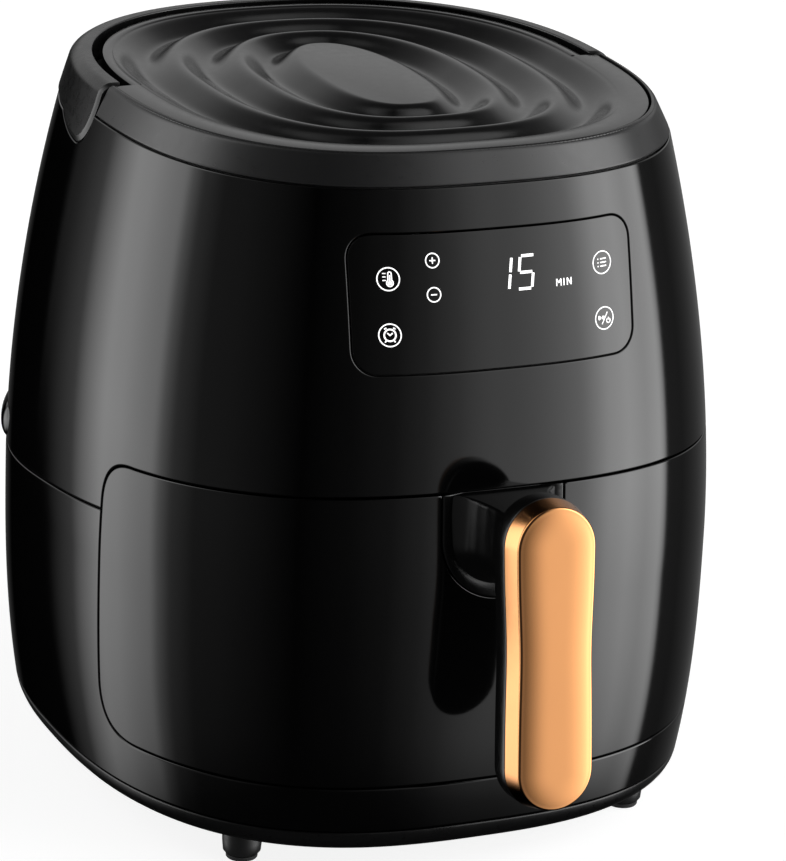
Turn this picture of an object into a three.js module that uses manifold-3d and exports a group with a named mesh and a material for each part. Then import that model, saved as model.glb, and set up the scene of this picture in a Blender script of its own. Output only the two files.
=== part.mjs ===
// Basket air fryer: a rounded housing, a pull-out drawer with a basket tub and a bar handle,
// a fan-forced heater above the tub, and a touch panel on the sloping front.
// Millimetres, +Z up, front towards -Y. The feet stand on z = 0.

import * as THREE from 'three';
import { mergeVertices } from 'three/addons/utils/BufferGeometryUtils.js';
import Module from 'manifold-3d';

const wasm = await Module();
wasm.setup();

// ---------------------------------------------------------------- driving dimensions

const SEAM = 0.8;               // visible gap between neighbouring shells
const CLEARANCE = 0.3;          // gap between pieces that rest on each other
const WALL = 2.8;               // moulded shell thickness
const AROUND = 44;              // points round a housing section

const HALF_WIDTH = 148;         // housing, at its widest level
const HALF_DEPTH = 177;
const WIDEST_Z = 125;
const SHOULDER_Z = 308;         // level where the upper taper is measured
const UPPER_TAPER = 24;         // how much the half width narrows from the widest level to the shoulder
const UPPER_TAPER_POWER = 1.88;
const LOWER_TAPER = 5.2;        // the same, from the widest level down to LOWER_TAPER_Z
const LOWER_TAPER_Z = 26;
const LOWER_TAPER_POWER = 2.7;
const REAR_LEAN = 12;           // how much more the rear leans in, at the shoulder
const FRONT_SQUARENESS = 2.65;  // superellipse exponents of the section
const REAR_SQUARENESS = 2.1;
const REAR_SQUARING = 0.2;      // how much squarer the rear gets, at the shoulder

const PAN_BOTTOM_Z = 13.2;
const PAN_TOP_Z = 24.4;
const PAN_EDGE_RADIUS = 10;
const PAN_FLOOR = 3;

const FOOT_RADIUS = 8.8;
const FOOT_X = 92;
const FRONT_FOOT_Y = -121;
const REAR_FOOT_Y = 104;
const FOOT_PAD_HEIGHT = 2.2;

const SEAM_Z = 141;             // side seam at y = 0
const SEAM_SLOPE = -0.107;      // the side seam falls towards the rear
const DRAWER_EDGE_Y = -72;      // the drawer front wraps back to this plane
const DRAWER_TOP_Z = 173;       // where the top edge leaves its rounded corner
const DRAWER_TOP_SLOPE = -0.067;
const DRAWER_BOTTOM_Z = 46.5;
const DRAWER_TOP_CORNER = 20;
const DRAWER_BOTTOM_CORNER = 24;

const TRIM_LOW_Z = 305.2;
const TRIM_TOP_Z = 318;
const TRIM_RIM = 14.6;          // width of the trim's flat top
const TRIM_LEAN = 3.6;          // how far the trim's face leans in beyond the housing's taper
const REAR_TRIM_TOP_Z = 318.4;
const REAR_TRIM_PROUD = 1.2;
const REAR_TRIM_RIM = 6;
const REAR_CHANNEL = 4.6;       // how much wider the top panel is where no front trim covers it
const REAR_TRIM_LOW_Z = 297;
const LUG_TIP = { y: 8, z: 290 };
const LUG_FRONT_Y = -7;
const LUG_REAR_Y = 38;

const PLATEAU = { halfWidth: 18, halfLength: 52, y: -9, z: 317 };
const WAVES = 3;                // embossed rings round the plateau
const WAVE_DEPTH = 5;
const TOP_PANEL_THICKNESS = 2.4;

const PANEL = { halfWidth: 64.5, low: 229.5, high: 286.5, radius: 10, thickness: 1.5 };
const DISPLAY_WINDOW = { halfWidth: 54, margin: 7 };

const TUB = { halfWidth: 112, front: -146, rear: 78, bottom: 55, top: 165, wall: 1.6, corner: 44, rim: 4 };
const LINER = { halfWidth: 121, rear: 92, bottom: 46, wall: 1.5, corner: 24 };
const FRAME_Y = -69;            // front frame of the cooking chamber
const FRAME_THICKNESS = 2.5;
const OPENING = { halfWidth: 119.5, low: 47.5, high: 168 };
const DRAWER_HIGHEST_Z = DRAWER_TOP_Z
  - DRAWER_TOP_SLOPE * (HALF_DEPTH + DRAWER_EDGE_Y - DRAWER_TOP_CORNER);
const CEILING_Z = DRAWER_HIGHEST_Z + 1.305;
const CEILING_THICKNESS = 1.5;
const SKIN_GAP = 0.5;           // inner pieces to the inside of the housing shells

const PLATE = { thickness: 1.6, z: TUB.bottom + 12, gap: 4.6, corner: 38, foot: 3 };
const BUMPER = { width: 16, height: 6 };

const FAN_Y = (TUB.front + TUB.rear) / 2;
const HOOD_RADIUS = 94;
const HOOD_HEIGHT = 42;
const SHEET = 1.5;              // sheet metal of the hood and duct
const PROBE_Y = FAN_Y - HOOD_RADIUS - 18;
const SHAFT_RADIUS = 4;
const SHAFT_LOW_Z = 191;
const SHAFT_TOP_Z = 293;
const RUNNING_GAP = 0.3;
const MOTOR = { radius: 36, low: 236, high: 268 };
const BRACKET_Z = 231;
const HOT_FAN = { radius: HOOD_RADIUS - 26, z: 202, height: 12, blades: 8 };
const COOLING_FAN = { radius: 46, z: 277, height: 9, blades: 7 };
const VANE_LEAN = 0.24;
const COIL = { radius: HOOD_RADIUS - 16, z: 189, rod: 3.2, pitch: 16 };

const GRIP = { low: 57.4, high: 189.4, top: 18.5, waist: 17.3, bottom: 17.9, tilt: 5.9, pivotZ: 125 };
const GRIP_FACE_Y = -HALF_DEPTH - 56;   // front of the grip at pivotZ
const GRIP_COVER_DEPTH = 14;
const GRIP_SHELL_DEPTH = 8.5;
const MOUNT = { halfWidth: 27.8, low: 131.2, depth: 8 };
const NECK = { halfWidth: 18.5, low: 141.5, top: 178, tipHalfWidth: 13 };
const SCREW = { head: 3.8, shank: 1.9, length: 16, x: 9, z: 157 };

const EXHAUST = { halfWidth: 46, low: 196, high: 240, radius: 6, proud: 2, slots: 6 };
const SPACER = { aboveSeam: 10, height: 17, proud: 3.6, frontY: 60 };
const GLAND = { z: 70, flange: 10, neck: 6.5, bore: 3.8 };

const BOARD = { width: 112, height: 46, thickness: 1.6, z: 257.5, gap: 9 };
const SWITCH = { x: 129.5, z: 118, width: 9, depth: 13, height: 18, plunger: 1.8 };
const SWITCH_FRONT = FRAME_Y + FRAME_THICKNESS + CLEARANCE;
const DRAWER_BACK_Y = -97;
const DRAWER_BACK_THICKNESS = 2.5;
const POST = { radius: 4.5, gap: 3 };   // post that meets the switch plunger
const FAR = 400;                // reach of cutting tools, beyond every piece

// ---------------------------------------------------------------- materials

const finish = (color, roughness, metalness) =>
  new THREE.MeshStandardMaterial({ color, roughness, metalness });

const FINISHES = {
  gloss: finish(0x0b0b0c, 0.12, 0),
  satin: finish(0x1b1b1c, 0.42, 0),
  matte: finish(0x18181a, 0.7, 0),
  lens: finish(0x060607, 0.06, 0),
  copper: finish(0xe0905a, 0.2, 1),
  rubber: finish(0x121212, 0.85, 0),
  silicone: finish(0x30302f, 0.7, 0),
  nonstick: finish(0x232324, 0.5, 0.2),
  aluminium: finish(0xb4b6b8, 0.4, 1),
  steel: finish(0x9a9b9d, 0.35, 1),
  element: finish(0x5a5450, 0.5, 1),
  board: finish(0x1d5b34, 0.6, 0),
};

// ---------------------------------------------------------------- geometry helpers

/** A closed mesh, with only positions and merged vertices, as a solid. */
function solidOf(geometry) {
  const bare = geometry.clone();
  for (const name of ['normal', 'uv']) bare.deleteAttribute(name);
  const merged = mergeVertices(bare, 1e-4);
  return new wasm.Manifold(new wasm.Mesh({
    numProp: 3,
    vertProperties: new Float32Array(merged.attributes.position.array),
    triVerts: new Uint32Array(merged.index.array),
  }));
}

/** A solid's triangles as a geometry. */
function geometryOf(solid) {
  const mesh = solid.getMesh();
  const geometry = new THREE.BufferGeometry();
  geometry.setAttribute('position', new THREE.BufferAttribute(mesh.vertProperties, 3));
  geometry.setIndex(new THREE.BufferAttribute(mesh.triVerts, 1));
  geometry.computeVertexNormals();
  return geometry;
}

const cut = (base, ...tools) => tools.reduce((left, tool) => left.subtract(tool), base);
const join = (base, ...others) => others.reduce((left, other) => left.add(other), base);

/** Six times the enclosed volume, negative when the faces point in. */
function signedVolume(positions, indices) {
  const at = (i) => new THREE.Vector3().fromArray(positions, 3 * i);
  let sum = 0;
  for (let i = 0; i < indices.length; i += 3) {
    sum += at(indices[i]).dot(at(indices[i + 1]).cross(at(indices[i + 2])));
  }
  return sum;
}

/** Joins rings of equal length into a closed skin. An open loft gets a flat cap at each end. */
function loft(rings, closed = false) {
  const count = rings[0].length;
  const positions = rings.flat(2);
  const indices = [];
  const bands = closed ? rings.length : rings.length - 1;
  for (let r = 0; r < bands; r += 1) {
    const low = r * count;
    const high = ((r + 1) % rings.length) * count;
    for (let i = 0; i < count; i += 1) {
      const next = (i + 1) % count;
      indices.push(low + i, low + next, high + next, low + i, high + next, high + i);
    }
  }
  if (!closed) {
    for (const [ring, start, flip] of [[rings[0], 0, true], [rings.at(-1), bands * count, false]]) {
      const centre = positions.length / 3;
      const mean = [0, 1, 2].map((k) => ring.reduce((sum, p) => sum + p[k], 0) / count);
      positions.push(...mean);
      for (let i = 0; i < count; i += 1) {
        const edge = [start + i, start + ((i + 1) % count)];
        if (flip) edge.reverse();
        indices.push(centre, ...edge);
      }
    }
  }
  if (signedVolume(positions, indices) < 0) indices.reverse();
  const geometry = new THREE.BufferGeometry();
  geometry.setAttribute('position', new THREE.Float32BufferAttribute(positions, 3));
  geometry.setIndex(indices);
  return geometry;
}

/** Evenly spaced values from start to end. */
const steps = (start, end, count) =>
  Array.from({ length: count + 1 }, (_, i) => start + ((end - start) * i) / count);

const polar = (angle, radius) => [radius * Math.cos(angle), radius * Math.sin(angle)];

/** Profile of a plain rod or bore between two levels. */
const rod = (radius, low, high) => [[0, low], [radius, low], [radius, high], [0, high]];

const fullTurn = (count) => steps(0, 2 * Math.PI, count).slice(0, -1);

/** Extrudes a shape drawn in (x, z) along y, from yLow to yHigh. */
function frontPrism(shape, yLow, yHigh, curveSegments = 8) {
  const geometry = new THREE.ExtrudeGeometry(shape, {
    depth: yHigh - yLow, bevelEnabled: false, curveSegments,
  });
  geometry.applyMatrix4(new THREE.Matrix4().makeBasis(
    new THREE.Vector3(1, 0, 0), new THREE.Vector3(0, 0, 1), new THREE.Vector3(0, -1, 0)));
  return geometry.translate(0, yHigh, 0);
}

/** Extrudes a shape drawn in (y, z) along x, over the whole width. */
function sidePrism(shape, halfWidth = 2 * HALF_WIDTH, curveSegments = 8) {
  const geometry = new THREE.ExtrudeGeometry(shape, {
    depth: 2 * halfWidth, bevelEnabled: false, curveSegments,
  });
  geometry.applyMatrix4(new THREE.Matrix4().makeBasis(
    new THREE.Vector3(0, 1, 0), new THREE.Vector3(0, 0, 1), new THREE.Vector3(1, 0, 0)));
  return geometry.translate(-halfWidth, 0, 0);
}

/** Extrudes a shape drawn in (x, y) upwards. */
function upPrism(shape, low, high, curveSegments = 8) {
  return new THREE.ExtrudeGeometry(shape, {
    depth: high - low, bevelEnabled: false, curveSegments,
  }).translate(0, 0, low);
}

/** A box between two corners. */
function box([x0, y0, z0], [x1, y1, z1]) {
  return new THREE.BoxGeometry(x1 - x0, y1 - y0, z1 - z0)
    .translate((x0 + x1) / 2, (y0 + y1) / 2, (z0 + z1) / 2);
}

/** A solid of revolution about the vertical axis. The profile is a list of [radius, z]. */
function turned(profile, segments = 24) {
  const points = profile.map(([radius, z]) => new THREE.Vector2(radius, z));
  if (profile[0][0] > 0) points.push(points[0].clone());
  const geometry = new THREE.LatheGeometry(points, segments).rotateX(Math.PI / 2);
  const merged = mergeVertices(geometry.deleteAttribute('uv').deleteAttribute('normal'), 1e-4);
  const kept = dropSlivers(merged);
  if (signedVolume(kept.attributes.position.array, kept.index.array) < 0) {
    kept.setIndex([...kept.index.array].reverse());
  }
  return kept;
}

/** Removes the triangles that fold to a line where a profile meets the axis. */
function dropSlivers(geometry) {
  const index = geometry.index.array;
  const kept = [];
  for (let i = 0; i < index.length; i += 3) {
    const [a, b, c] = index.slice(i, i + 3);
    if (a !== b && b !== c && c !== a) kept.push(a, b, c);
  }
  geometry.setIndex(kept);
  return geometry;
}

/** A rectangle with rounded corners, as a shape. */
function roundedRectangle(x0, y0, x1, y1, radius) {
  const shape = new THREE.Shape();
  shape.moveTo(x0 + radius, y0);
  shape.lineTo(x1 - radius, y0);
  shape.absarc(x1 - radius, y0 + radius, radius, -Math.PI / 2, 0, false);
  shape.lineTo(x1, y1 - radius);
  shape.absarc(x1 - radius, y1 - radius, radius, 0, Math.PI / 2, false);
  shape.lineTo(x0 + radius, y1);
  shape.absarc(x0 + radius, y1 - radius, radius, Math.PI / 2, Math.PI, false);
  shape.lineTo(x0, y0 + radius);
  shape.absarc(x0 + radius, y0 + radius, radius, Math.PI, 1.5 * Math.PI, false);
  return shape;
}

/** A circle as a hole or a shape. */
function circle(x, y, radius, Kind = THREE.Shape) {
  const path = new Kind();
  path.absarc(x, y, radius, 0, 2 * Math.PI, false);
  return path;
}

/** A ring of points round a rounded rectangle, at one level. */
function rectangleRing(x0, y0, x1, y1, radius, z, perCorner = 4) {
  const corners = [[x1, y1, 0], [x0, y1, 1], [x0, y0, 2], [x1, y0, 3]];
  return corners.flatMap(([x, y, quarter]) => steps(0, Math.PI / 2, perCorner).map((angle) => {
    const [dx, dy] = polar(angle + (quarter * Math.PI) / 2, radius);
    const [outX, outY] = [Math.sign(x - (x0 + x1) / 2), Math.sign(y - (y0 + y1) / 2)];
    return [x - outX * radius + dx, y - outY * radius + dy, z];
  }));
}

// ---------------------------------------------------------------- housing form

/** Half width of the housing at a level, before the rounded bottom edge. */
function halfWidthAt(z) {
  const above = z > WIDEST_Z;
  const run = above ? (z - WIDEST_Z) / (SHOULDER_Z - WIDEST_Z) : (WIDEST_Z - z) / (WIDEST_Z - LOWER_TAPER_Z);
  return above
    ? HALF_WIDTH - UPPER_TAPER * run ** UPPER_TAPER_POWER
    : HALF_WIDTH - LOWER_TAPER * run ** LOWER_TAPER_POWER;
}

const halfDepthAt = (z) => (HALF_DEPTH * halfWidthAt(z)) / HALF_WIDTH;

/** Square of the way up from the widest level to the shoulder, 0 below the widest level. */
const rearRise = (z) => (Math.max(z - WIDEST_Z, 0) / (SHOULDER_Z - WIDEST_Z)) ** 2;

const rearDepthAt = (z) => halfDepthAt(z) - REAR_LEAN * rearRise(z);

/** A point of a section with squarer front corners than rear ones. */
function sectionPoint(turn, halfWidth, frontDepth, rearDepth = frontDepth, rearSquareness = REAR_SQUARENESS) {
  const across = Math.cos(turn);
  const along = Math.sin(turn);
  const squareness = along < 0 ? FRONT_SQUARENESS : rearSquareness;
  const shaped = (value) => Math.sign(value) * Math.abs(value) ** (2 / squareness);
  return [halfWidth * shaped(across), (along < 0 ? frontDepth : rearDepth) * shaped(along)];
}

/** A point of the housing's section at a level, set in by inset. */
function housingPoint(turn, z, inset) {
  return sectionPoint(turn, halfWidthAt(z) - inset, halfDepthAt(z) - inset, rearDepthAt(z) - inset,
    REAR_SQUARENESS + REAR_SQUARING * rearRise(z));
}

/** A ring that follows the housing at a level, set in by inset. */
function housingRing(z, inset = 0, count = AROUND) {
  return fullTurn(count).map((turn) => [...housingPoint(turn, z, inset), z]);
}

/** A tube of housing wall between two insets and two levels. */
function housingWall(outer, inner, low, high, levels = 9) {
  const up = steps(low, high, levels).map((z) => housingRing(z, outer));
  const down = steps(high, low, Math.ceil(levels / 2)).map((z) => housingRing(z, inner));
  return solidOf(loft([...up, ...down], true));
}

/** The solid inside of the housing, set in from its outer surface. */
function housingCore(inset, low, high, levels = 4) {
  return solidOf(loft(steps(low, high, levels).map((z) => housingRing(z, inset, AROUND / 2))));
}

/** Depth of the housing's front surface at a level and a distance from the middle. */
function frontSurfaceY(z, x = 0) {
  const share = Math.abs(x) / halfWidthAt(z);
  return -halfDepthAt(z) * (1 - share ** FRONT_SQUARENESS) ** (1 / FRONT_SQUARENESS);
}

const seamZ = (y) => SEAM_Z + SEAM_SLOPE * y;

/** Adds the drawer's rear edge and top edge to a shape that stands at the edge's foot. */
function addDrawerEdge(shape, grow) {
  const edge = DRAWER_EDGE_Y + grow;
  const corner = DRAWER_TOP_CORNER + grow;
  const top = DRAWER_TOP_Z + grow;
  shape.lineTo(edge, top - corner);
  shape.quadraticCurveTo(edge, top, edge - corner, top);
  shape.lineTo(-FAR, top + DRAWER_TOP_SLOPE * (-FAR - (edge - corner)));
}

/** The drawer front seen from the side, as a shape in (y, z), grown by grow. */
function drawerOutline(grow) {
  const edge = DRAWER_EDGE_Y + grow;
  const corner = DRAWER_BOTTOM_CORNER + grow;
  const bottom = DRAWER_BOTTOM_Z - grow;
  const shape = new THREE.Shape();
  shape.moveTo(-FAR, bottom);
  shape.lineTo(edge - corner, bottom);
  shape.quadraticCurveTo(edge, bottom, edge, bottom + corner);
  addDrawerEdge(shape, grow);
  return shape;
}

/** Everything below the upper shell, as a shape in (y, z), grown by grow. */
function lowerOutline(grow) {
  const edge = DRAWER_EDGE_Y + grow;
  const shape = new THREE.Shape();
  shape.moveTo(-FAR, -FAR);
  shape.lineTo(FAR, -FAR);
  shape.lineTo(FAR, seamZ(FAR) + grow);
  shape.lineTo(edge, seamZ(edge) + grow);
  addDrawerEdge(shape, grow);
  return shape;
}

/** The rear trim with its two lugs, as a shape in (y, z), grown by grow. */
function rearTrimOutline(grow) {
  const shape = new THREE.Shape();
  shape.moveTo(FAR, REAR_TRIM_LOW_Z - grow);
  shape.lineTo(LUG_REAR_Y, REAR_TRIM_LOW_Z - grow);
  shape.quadraticCurveTo(LUG_TIP.y + 12, LUG_TIP.z - grow, LUG_TIP.y, LUG_TIP.z - grow);
  shape.quadraticCurveTo(LUG_FRONT_Y + 3 - grow, LUG_TIP.z + 2, LUG_FRONT_Y + 1 - grow, TRIM_LOW_Z + 4);
  shape.lineTo(LUG_FRONT_Y - grow, FAR);
  shape.lineTo(FAR, FAR);
  return shape;
}

// ---------------------------------------------------------------- housing pieces

const PANEL_OUTLINE = (grow) => roundedRectangle(
  -PANEL.halfWidth - grow, PANEL.low - grow, PANEL.halfWidth + grow, PANEL.high + grow, PANEL.radius + grow);

/** Upper shell: from the side seam to under the trims, with a pocket and window for the panel. */
function upperShell() {
  const wall = housingWall(0, WALL, seamZ(HALF_DEPTH) - 6, TRIM_LOW_Z - SEAM, 10);
  const lower = solidOf(sidePrism(lowerOutline(SEAM / 2)));
  const rearTrim = solidOf(sidePrism(rearTrimOutline(SEAM / 2)));
  const pocketSkin = housingWall(-2, PANEL.thickness + CLEARANCE, PANEL.low - 8, PANEL.high + 8, 4);
  const pocket = pocketSkin.intersect(solidOf(frontPrism(PANEL_OUTLINE(CLEARANCE), -FAR, 0)));
  const window = solidOf(frontPrism(roundedRectangle(
    -DISPLAY_WINDOW.halfWidth, PANEL.low + DISPLAY_WINDOW.margin,
    DISPLAY_WINDOW.halfWidth, PANEL.high - DISPLAY_WINDOW.margin, 3), -FAR, 0, 2));
  const exhaust = solidOf(frontPrism(exhaustOutline(SEAM / 2), 0, FAR, 3));
  const spacerSeat = spacerSolid(CLEARANCE);
  return cut(wall, lower, rearTrim, pocket, window, exhaust, spacerSeat);
}

/** Lower shell: below the side seam, open in front where the drawer closes it. */
function lowerShell() {
  const wall = housingWall(0, WALL, PAN_TOP_Z + SEAM, DRAWER_TOP_Z + 12, 8);
  const below = solidOf(sidePrism(lowerOutline(-SEAM / 2)));
  const drawer = solidOf(sidePrism(drawerOutline(SEAM / 2)));
  const glandHole = solidOf(turned(rod(GLAND.neck + CLEARANCE, 0, FAR), 16)
    .rotateX(-Math.PI / 2).translate(0, 0, GLAND.z));
  return cut(wall.intersect(below), drawer, glandHole);
}

/** Base pan: closes the bottom, with a rounded edge and air slots under the boards. */
function basePan() {
  const rounded = steps(0, 1, 4).map((share) => {
    const rise = PAN_EDGE_RADIUS * (1 - Math.cos((share * Math.PI) / 2));
    const inset = PAN_EDGE_RADIUS * (1 - Math.sin((share * Math.PI) / 2));
    return housingRing(PAN_BOTTOM_Z + rise, inset);
  });
  const rim = [housingRing(PAN_TOP_Z, 0), housingRing(PAN_TOP_Z, WALL),
    housingRing(PAN_BOTTOM_Z + PAN_FLOOR, PAN_EDGE_RADIUS + WALL)];
  const pan = solidOf(loft([...rounded, ...rim]));
  const slots = steps(-48, 48, 6).map((x) => solidOf(box([x - 3, -40, 0], [x + 3, 40, PAN_TOP_Z])));
  return cut(pan, ...slots);
}

/** Foot: a slightly tapered stub with a rounded bottom edge, standing on its rubber pad. */
function foot() {
  const low = FOOT_PAD_HEIGHT + CLEARANCE;
  const high = PAN_BOTTOM_Z - CLEARANCE;
  return turned([[0, low], [FOOT_RADIUS - 1.4, low], [FOOT_RADIUS - 0.4, low + 1.2],
    [FOOT_RADIUS, high], [0, high]], 14);
}

/** Rubber pad under a foot. */
function footPad() {
  const radius = FOOT_RADIUS - 1.8;
  const profile = [[0, 0], [radius - 0.6, 0], [radius, 0.7], [radius, FOOT_PAD_HEIGHT], [0, FOOT_PAD_HEIGHT]];
  return turned(profile, 12);
}

/** Front trim: the flat rim and leaning face round the front half of the top. */
function frontTrim() {
  const profile = [
    [TRIM_LOW_Z, 0.2], [TRIM_TOP_Z - 1.2, TRIM_LEAN - 0.9], [TRIM_TOP_Z, TRIM_LEAN],
    [TRIM_TOP_Z, TRIM_LEAN + TRIM_RIM], [TRIM_TOP_Z - 6, TRIM_LEAN + TRIM_RIM],
    [TRIM_TOP_Z - 6, TRIM_LEAN + 5], [TRIM_LOW_Z, 4],
  ];
  const ring = solidOf(loft(profile.map(([z, inset]) => housingRing(z, inset)), true));
  return cut(ring, solidOf(sidePrism(rearTrimOutline(SEAM / 2))));
}

/** Rear trim: the raised rim round the rear half, with a shield-shaped lug at each front end. */
function rearTrim() {
  const inner = REAR_TRIM_RIM + TRIM_LEAN;
  const profile = [
    [LUG_TIP.z - 4, -REAR_TRIM_PROUD], [TRIM_TOP_Z - 2, -REAR_TRIM_PROUD + 1.2],
    [REAR_TRIM_TOP_Z, TRIM_LEAN], [REAR_TRIM_TOP_Z, inner],
    [REAR_TRIM_LOW_Z + 4, inner], [LUG_TIP.z - 4, WALL],
  ];
  const ring = solidOf(loft(profile.map(([z, inset]) => housingRing(z, inset)), true));
  return ring.intersect(solidOf(sidePrism(rearTrimOutline(-SEAM / 2))));
}

/** Air inlet ring: the slotted floor of the channel between the rear trim and the top panel. */
function airInlet() {
  const z = TRIM_TOP_Z - 16;
  const outer = TRIM_LEAN + REAR_TRIM_RIM + CLEARANCE;
  const inner = TRIM_LEAN + TRIM_RIM + 6;
  const ring = solidOf(loft([[z, outer], [z + 1.5, outer], [z + 1.5, inner], [z, inner]]
    .map(([level, inset]) => housingRing(level, inset)), true));
  const rear = solidOf(box([-FAR, -LUG_FRONT_Y + 6, 0], [FAR, FAR, FAR]));
  const slots = steps(0.12, 0.88, 12).map((share) => solidOf(
    box([80, -1.6, 0], [200, 1.6, FAR]).rotateZ(share * Math.PI)));
  return cut(ring.intersect(rear), ...slots.map((slot) => slot.intersect(
    solidOf(loft([[z - 1, outer + 2.5], [z + 3, outer + 2.5], [z + 3, inner - 2.5], [z - 1, inner - 2.5]]
      .map(([level, inset]) => housingRing(level, inset)), true)))));
}

/** Top panel: a plateau with embossed rings that spread to the panel's oval edge. */
function topPanel() {
  const edgeInset = TRIM_LEAN + TRIM_RIM + SEAM / 2;
  const outline = fullTurn(AROUND).map((turn) => {
    const covered = housingPoint(turn, TRIM_TOP_Z, edgeInset);
    return covered[1] > 1 ? housingPoint(turn, TRIM_TOP_Z, edgeInset - REAR_CHANNEL) : covered;
  });
  const plateau = fullTurn(AROUND).map((turn) => {
    const [x, y] = sectionPoint(turn, PLATEAU.halfWidth, PLATEAU.halfLength);
    return [x, y + PLATEAU.y];
  });
  const blend = (share, z) => outline.map(([x, y], i) => [
    plateau[i][0] + (x - plateau[i][0]) * share, plateau[i][1] + (y - plateau[i][1]) * share, z]);
  const top = steps(0, 1, 3 * WAVES).map((share) => {
    const wave = (1 - Math.cos(2 * Math.PI * WAVES * share)) / 2;
    return blend(share * 0.94, PLATEAU.z - WAVE_DEPTH * wave);
  });
  const under = PLATEAU.z - WAVE_DEPTH - TOP_PANEL_THICKNESS;
  const edge = [blend(1, PLATEAU.z), blend(1, under), blend(0.5, under)];
  return loft([...top, ...edge]);
}

/** Touch panel lens: a rounded rectangle cut from the housing's own front surface. */
function controlPanel() {
  const skin = housingWall(0, PANEL.thickness, PANEL.low - 8, PANEL.high + 8, 4);
  return skin.intersect(solidOf(frontPrism(PANEL_OUTLINE(-CLEARANCE / 2), -FAR, 0)));
}

/** Places a flat board behind the sloping panel, standing clear of the shell's inside. */
function behindPanel(geometry, setback) {
  const faceY = (z) => frontSurfaceY(z, BOARD.width / 2);
  const rise = BOARD.height / 2;
  const lean = Math.atan2(faceY(BOARD.z + rise) - faceY(BOARD.z - rise), 2 * rise);
  return geometry.rotateX(-lean).translate(0, faceY(BOARD.z) + WALL + setback, BOARD.z);
}

/** Touch and display circuit board. */
function displayBoard() {
  const [half, rise] = [BOARD.width / 2, BOARD.height / 2];
  return behindPanel(box([-half, 0, -rise], [half, BOARD.thickness, rise]), BOARD.gap);
}

/** Light-emitting digit block on the front of the board. */
function displayModule() {
  return behindPanel(box([-18, -6 - CLEARANCE, -9], [40, -CLEARANCE, 17]), BOARD.gap);
}

function exhaustOutline(grow) {
  return roundedRectangle(-EXHAUST.halfWidth - grow, EXHAUST.low - grow,
    EXHAUST.halfWidth + grow, EXHAUST.high + grow, EXHAUST.radius + grow);
}

/** Exhaust cover: a louvred plate set in the rear of the upper shell. */
function exhaustCover() {
  const skin = housingWall(-EXHAUST.proud, WALL - 0.4, EXHAUST.low - 8, EXHAUST.high + 8, 3);
  const plate = skin.intersect(solidOf(frontPrism(exhaustOutline(-SEAM / 2), 0, FAR, 3)));
  const pitch = (EXHAUST.high - EXHAUST.low) / (EXHAUST.slots + 1);
  const slots = steps(1, EXHAUST.slots, EXHAUST.slots - 1).map((row) => {
    const z = EXHAUST.low + row * pitch;
    return solidOf(box([-EXHAUST.halfWidth + 8, 0, z - 1.6], [EXHAUST.halfWidth - 8, FAR, z + 1.6]));
  });
  return cut(plate, ...slots);
}

/** Duct that takes the hot air from the hood to the exhaust cover. */
function exhaustDuct() {
  const half = EXHAUST.halfWidth - 6;
  const [low, high] = [EXHAUST.low + 4, EXHAUST.high - 4];
  const front = FAN_Y + HOOD_RADIUS + 6;
  const rear = Math.sqrt(1 - (half / halfWidthAt(high)) ** 2) * rearDepthAt(high) - WALL - 6;
  const outside = solidOf(box([-half, front, low], [half, rear, high]));
  const inside = solidOf(box([-half + SHEET, front - 1, low + SHEET],
    [half - SHEET, rear + 1, high - SHEET]));
  return cut(outside, inside);
}

/** The rounded rib round the rear, grown by grow where the shell makes room for it. */
function spacerSolid(grow) {
  const half = SPACER.height / 2 + grow;
  const seat = 1.2;
  const slopingRing = (offset, inset) => housingRing(SEAM_Z + offset, inset)
    .map(([x, y]) => [x, y, seamZ(y) + offset]);
  const crown = steps(-1, 1, 6).map((share) => {
    const bulge = Math.sqrt(1 - share ** 2);
    return slopingRing(SPACER.aboveSeam + share * half, seat - (SPACER.proud + seat) * bulge);
  });
  const back = [1, -1].map((side) => slopingRing(SPACER.aboveSeam + side * half, seat + grow));
  const ring = solidOf(loft([...crown, ...back], true));
  return ring.intersect(solidOf(box([-FAR, SPACER.frontY - grow, 0], [FAR, FAR, FAR])));
}

/** Cord gland: the flanged bush in the rear wall that the supply lead would pass through. */
function cordGland() {
  const face = halfDepthAt(GLAND.z);
  const profile = [[GLAND.bore, face - WALL - 5], [GLAND.neck, face - WALL - 5], [GLAND.neck, face + 0.6],
    [GLAND.flange, face + 0.6], [GLAND.flange - 1, face + 2.6], [GLAND.bore + 1, face + 3],
    [GLAND.bore, face + 2.4]];
  return turned(profile, 16).rotateX(-Math.PI / 2).translate(0, 0, GLAND.z);
}

// ---------------------------------------------------------------- cooking chamber

/** Sheet-metal chamber round the tub, open to the front and to the hood above. */
function chamberLiner() {
  const front = FRAME_Y + FRAME_THICKNESS + CLEARANCE;
  const top = CEILING_Z - CLEARANCE;
  const { halfWidth, rear, bottom, wall, corner } = LINER;
  const plan = (inset, ahead) => {
    const shape = roundedRectangle(-halfWidth + inset, -FAR, halfWidth - inset, rear - inset, corner - inset);
    return { shape, start: front - ahead };
  };
  const block = (inset, ahead, low, high) => {
    const { shape, start } = plan(inset, ahead);
    return solidOf(upPrism(shape, low, high, 4)).intersect(solidOf(box([-FAR, start, 0], [FAR, FAR, FAR])));
  };
  return cut(block(0, 0, bottom, top), block(wall, 1, bottom + wall, top + 1));
}

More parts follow.
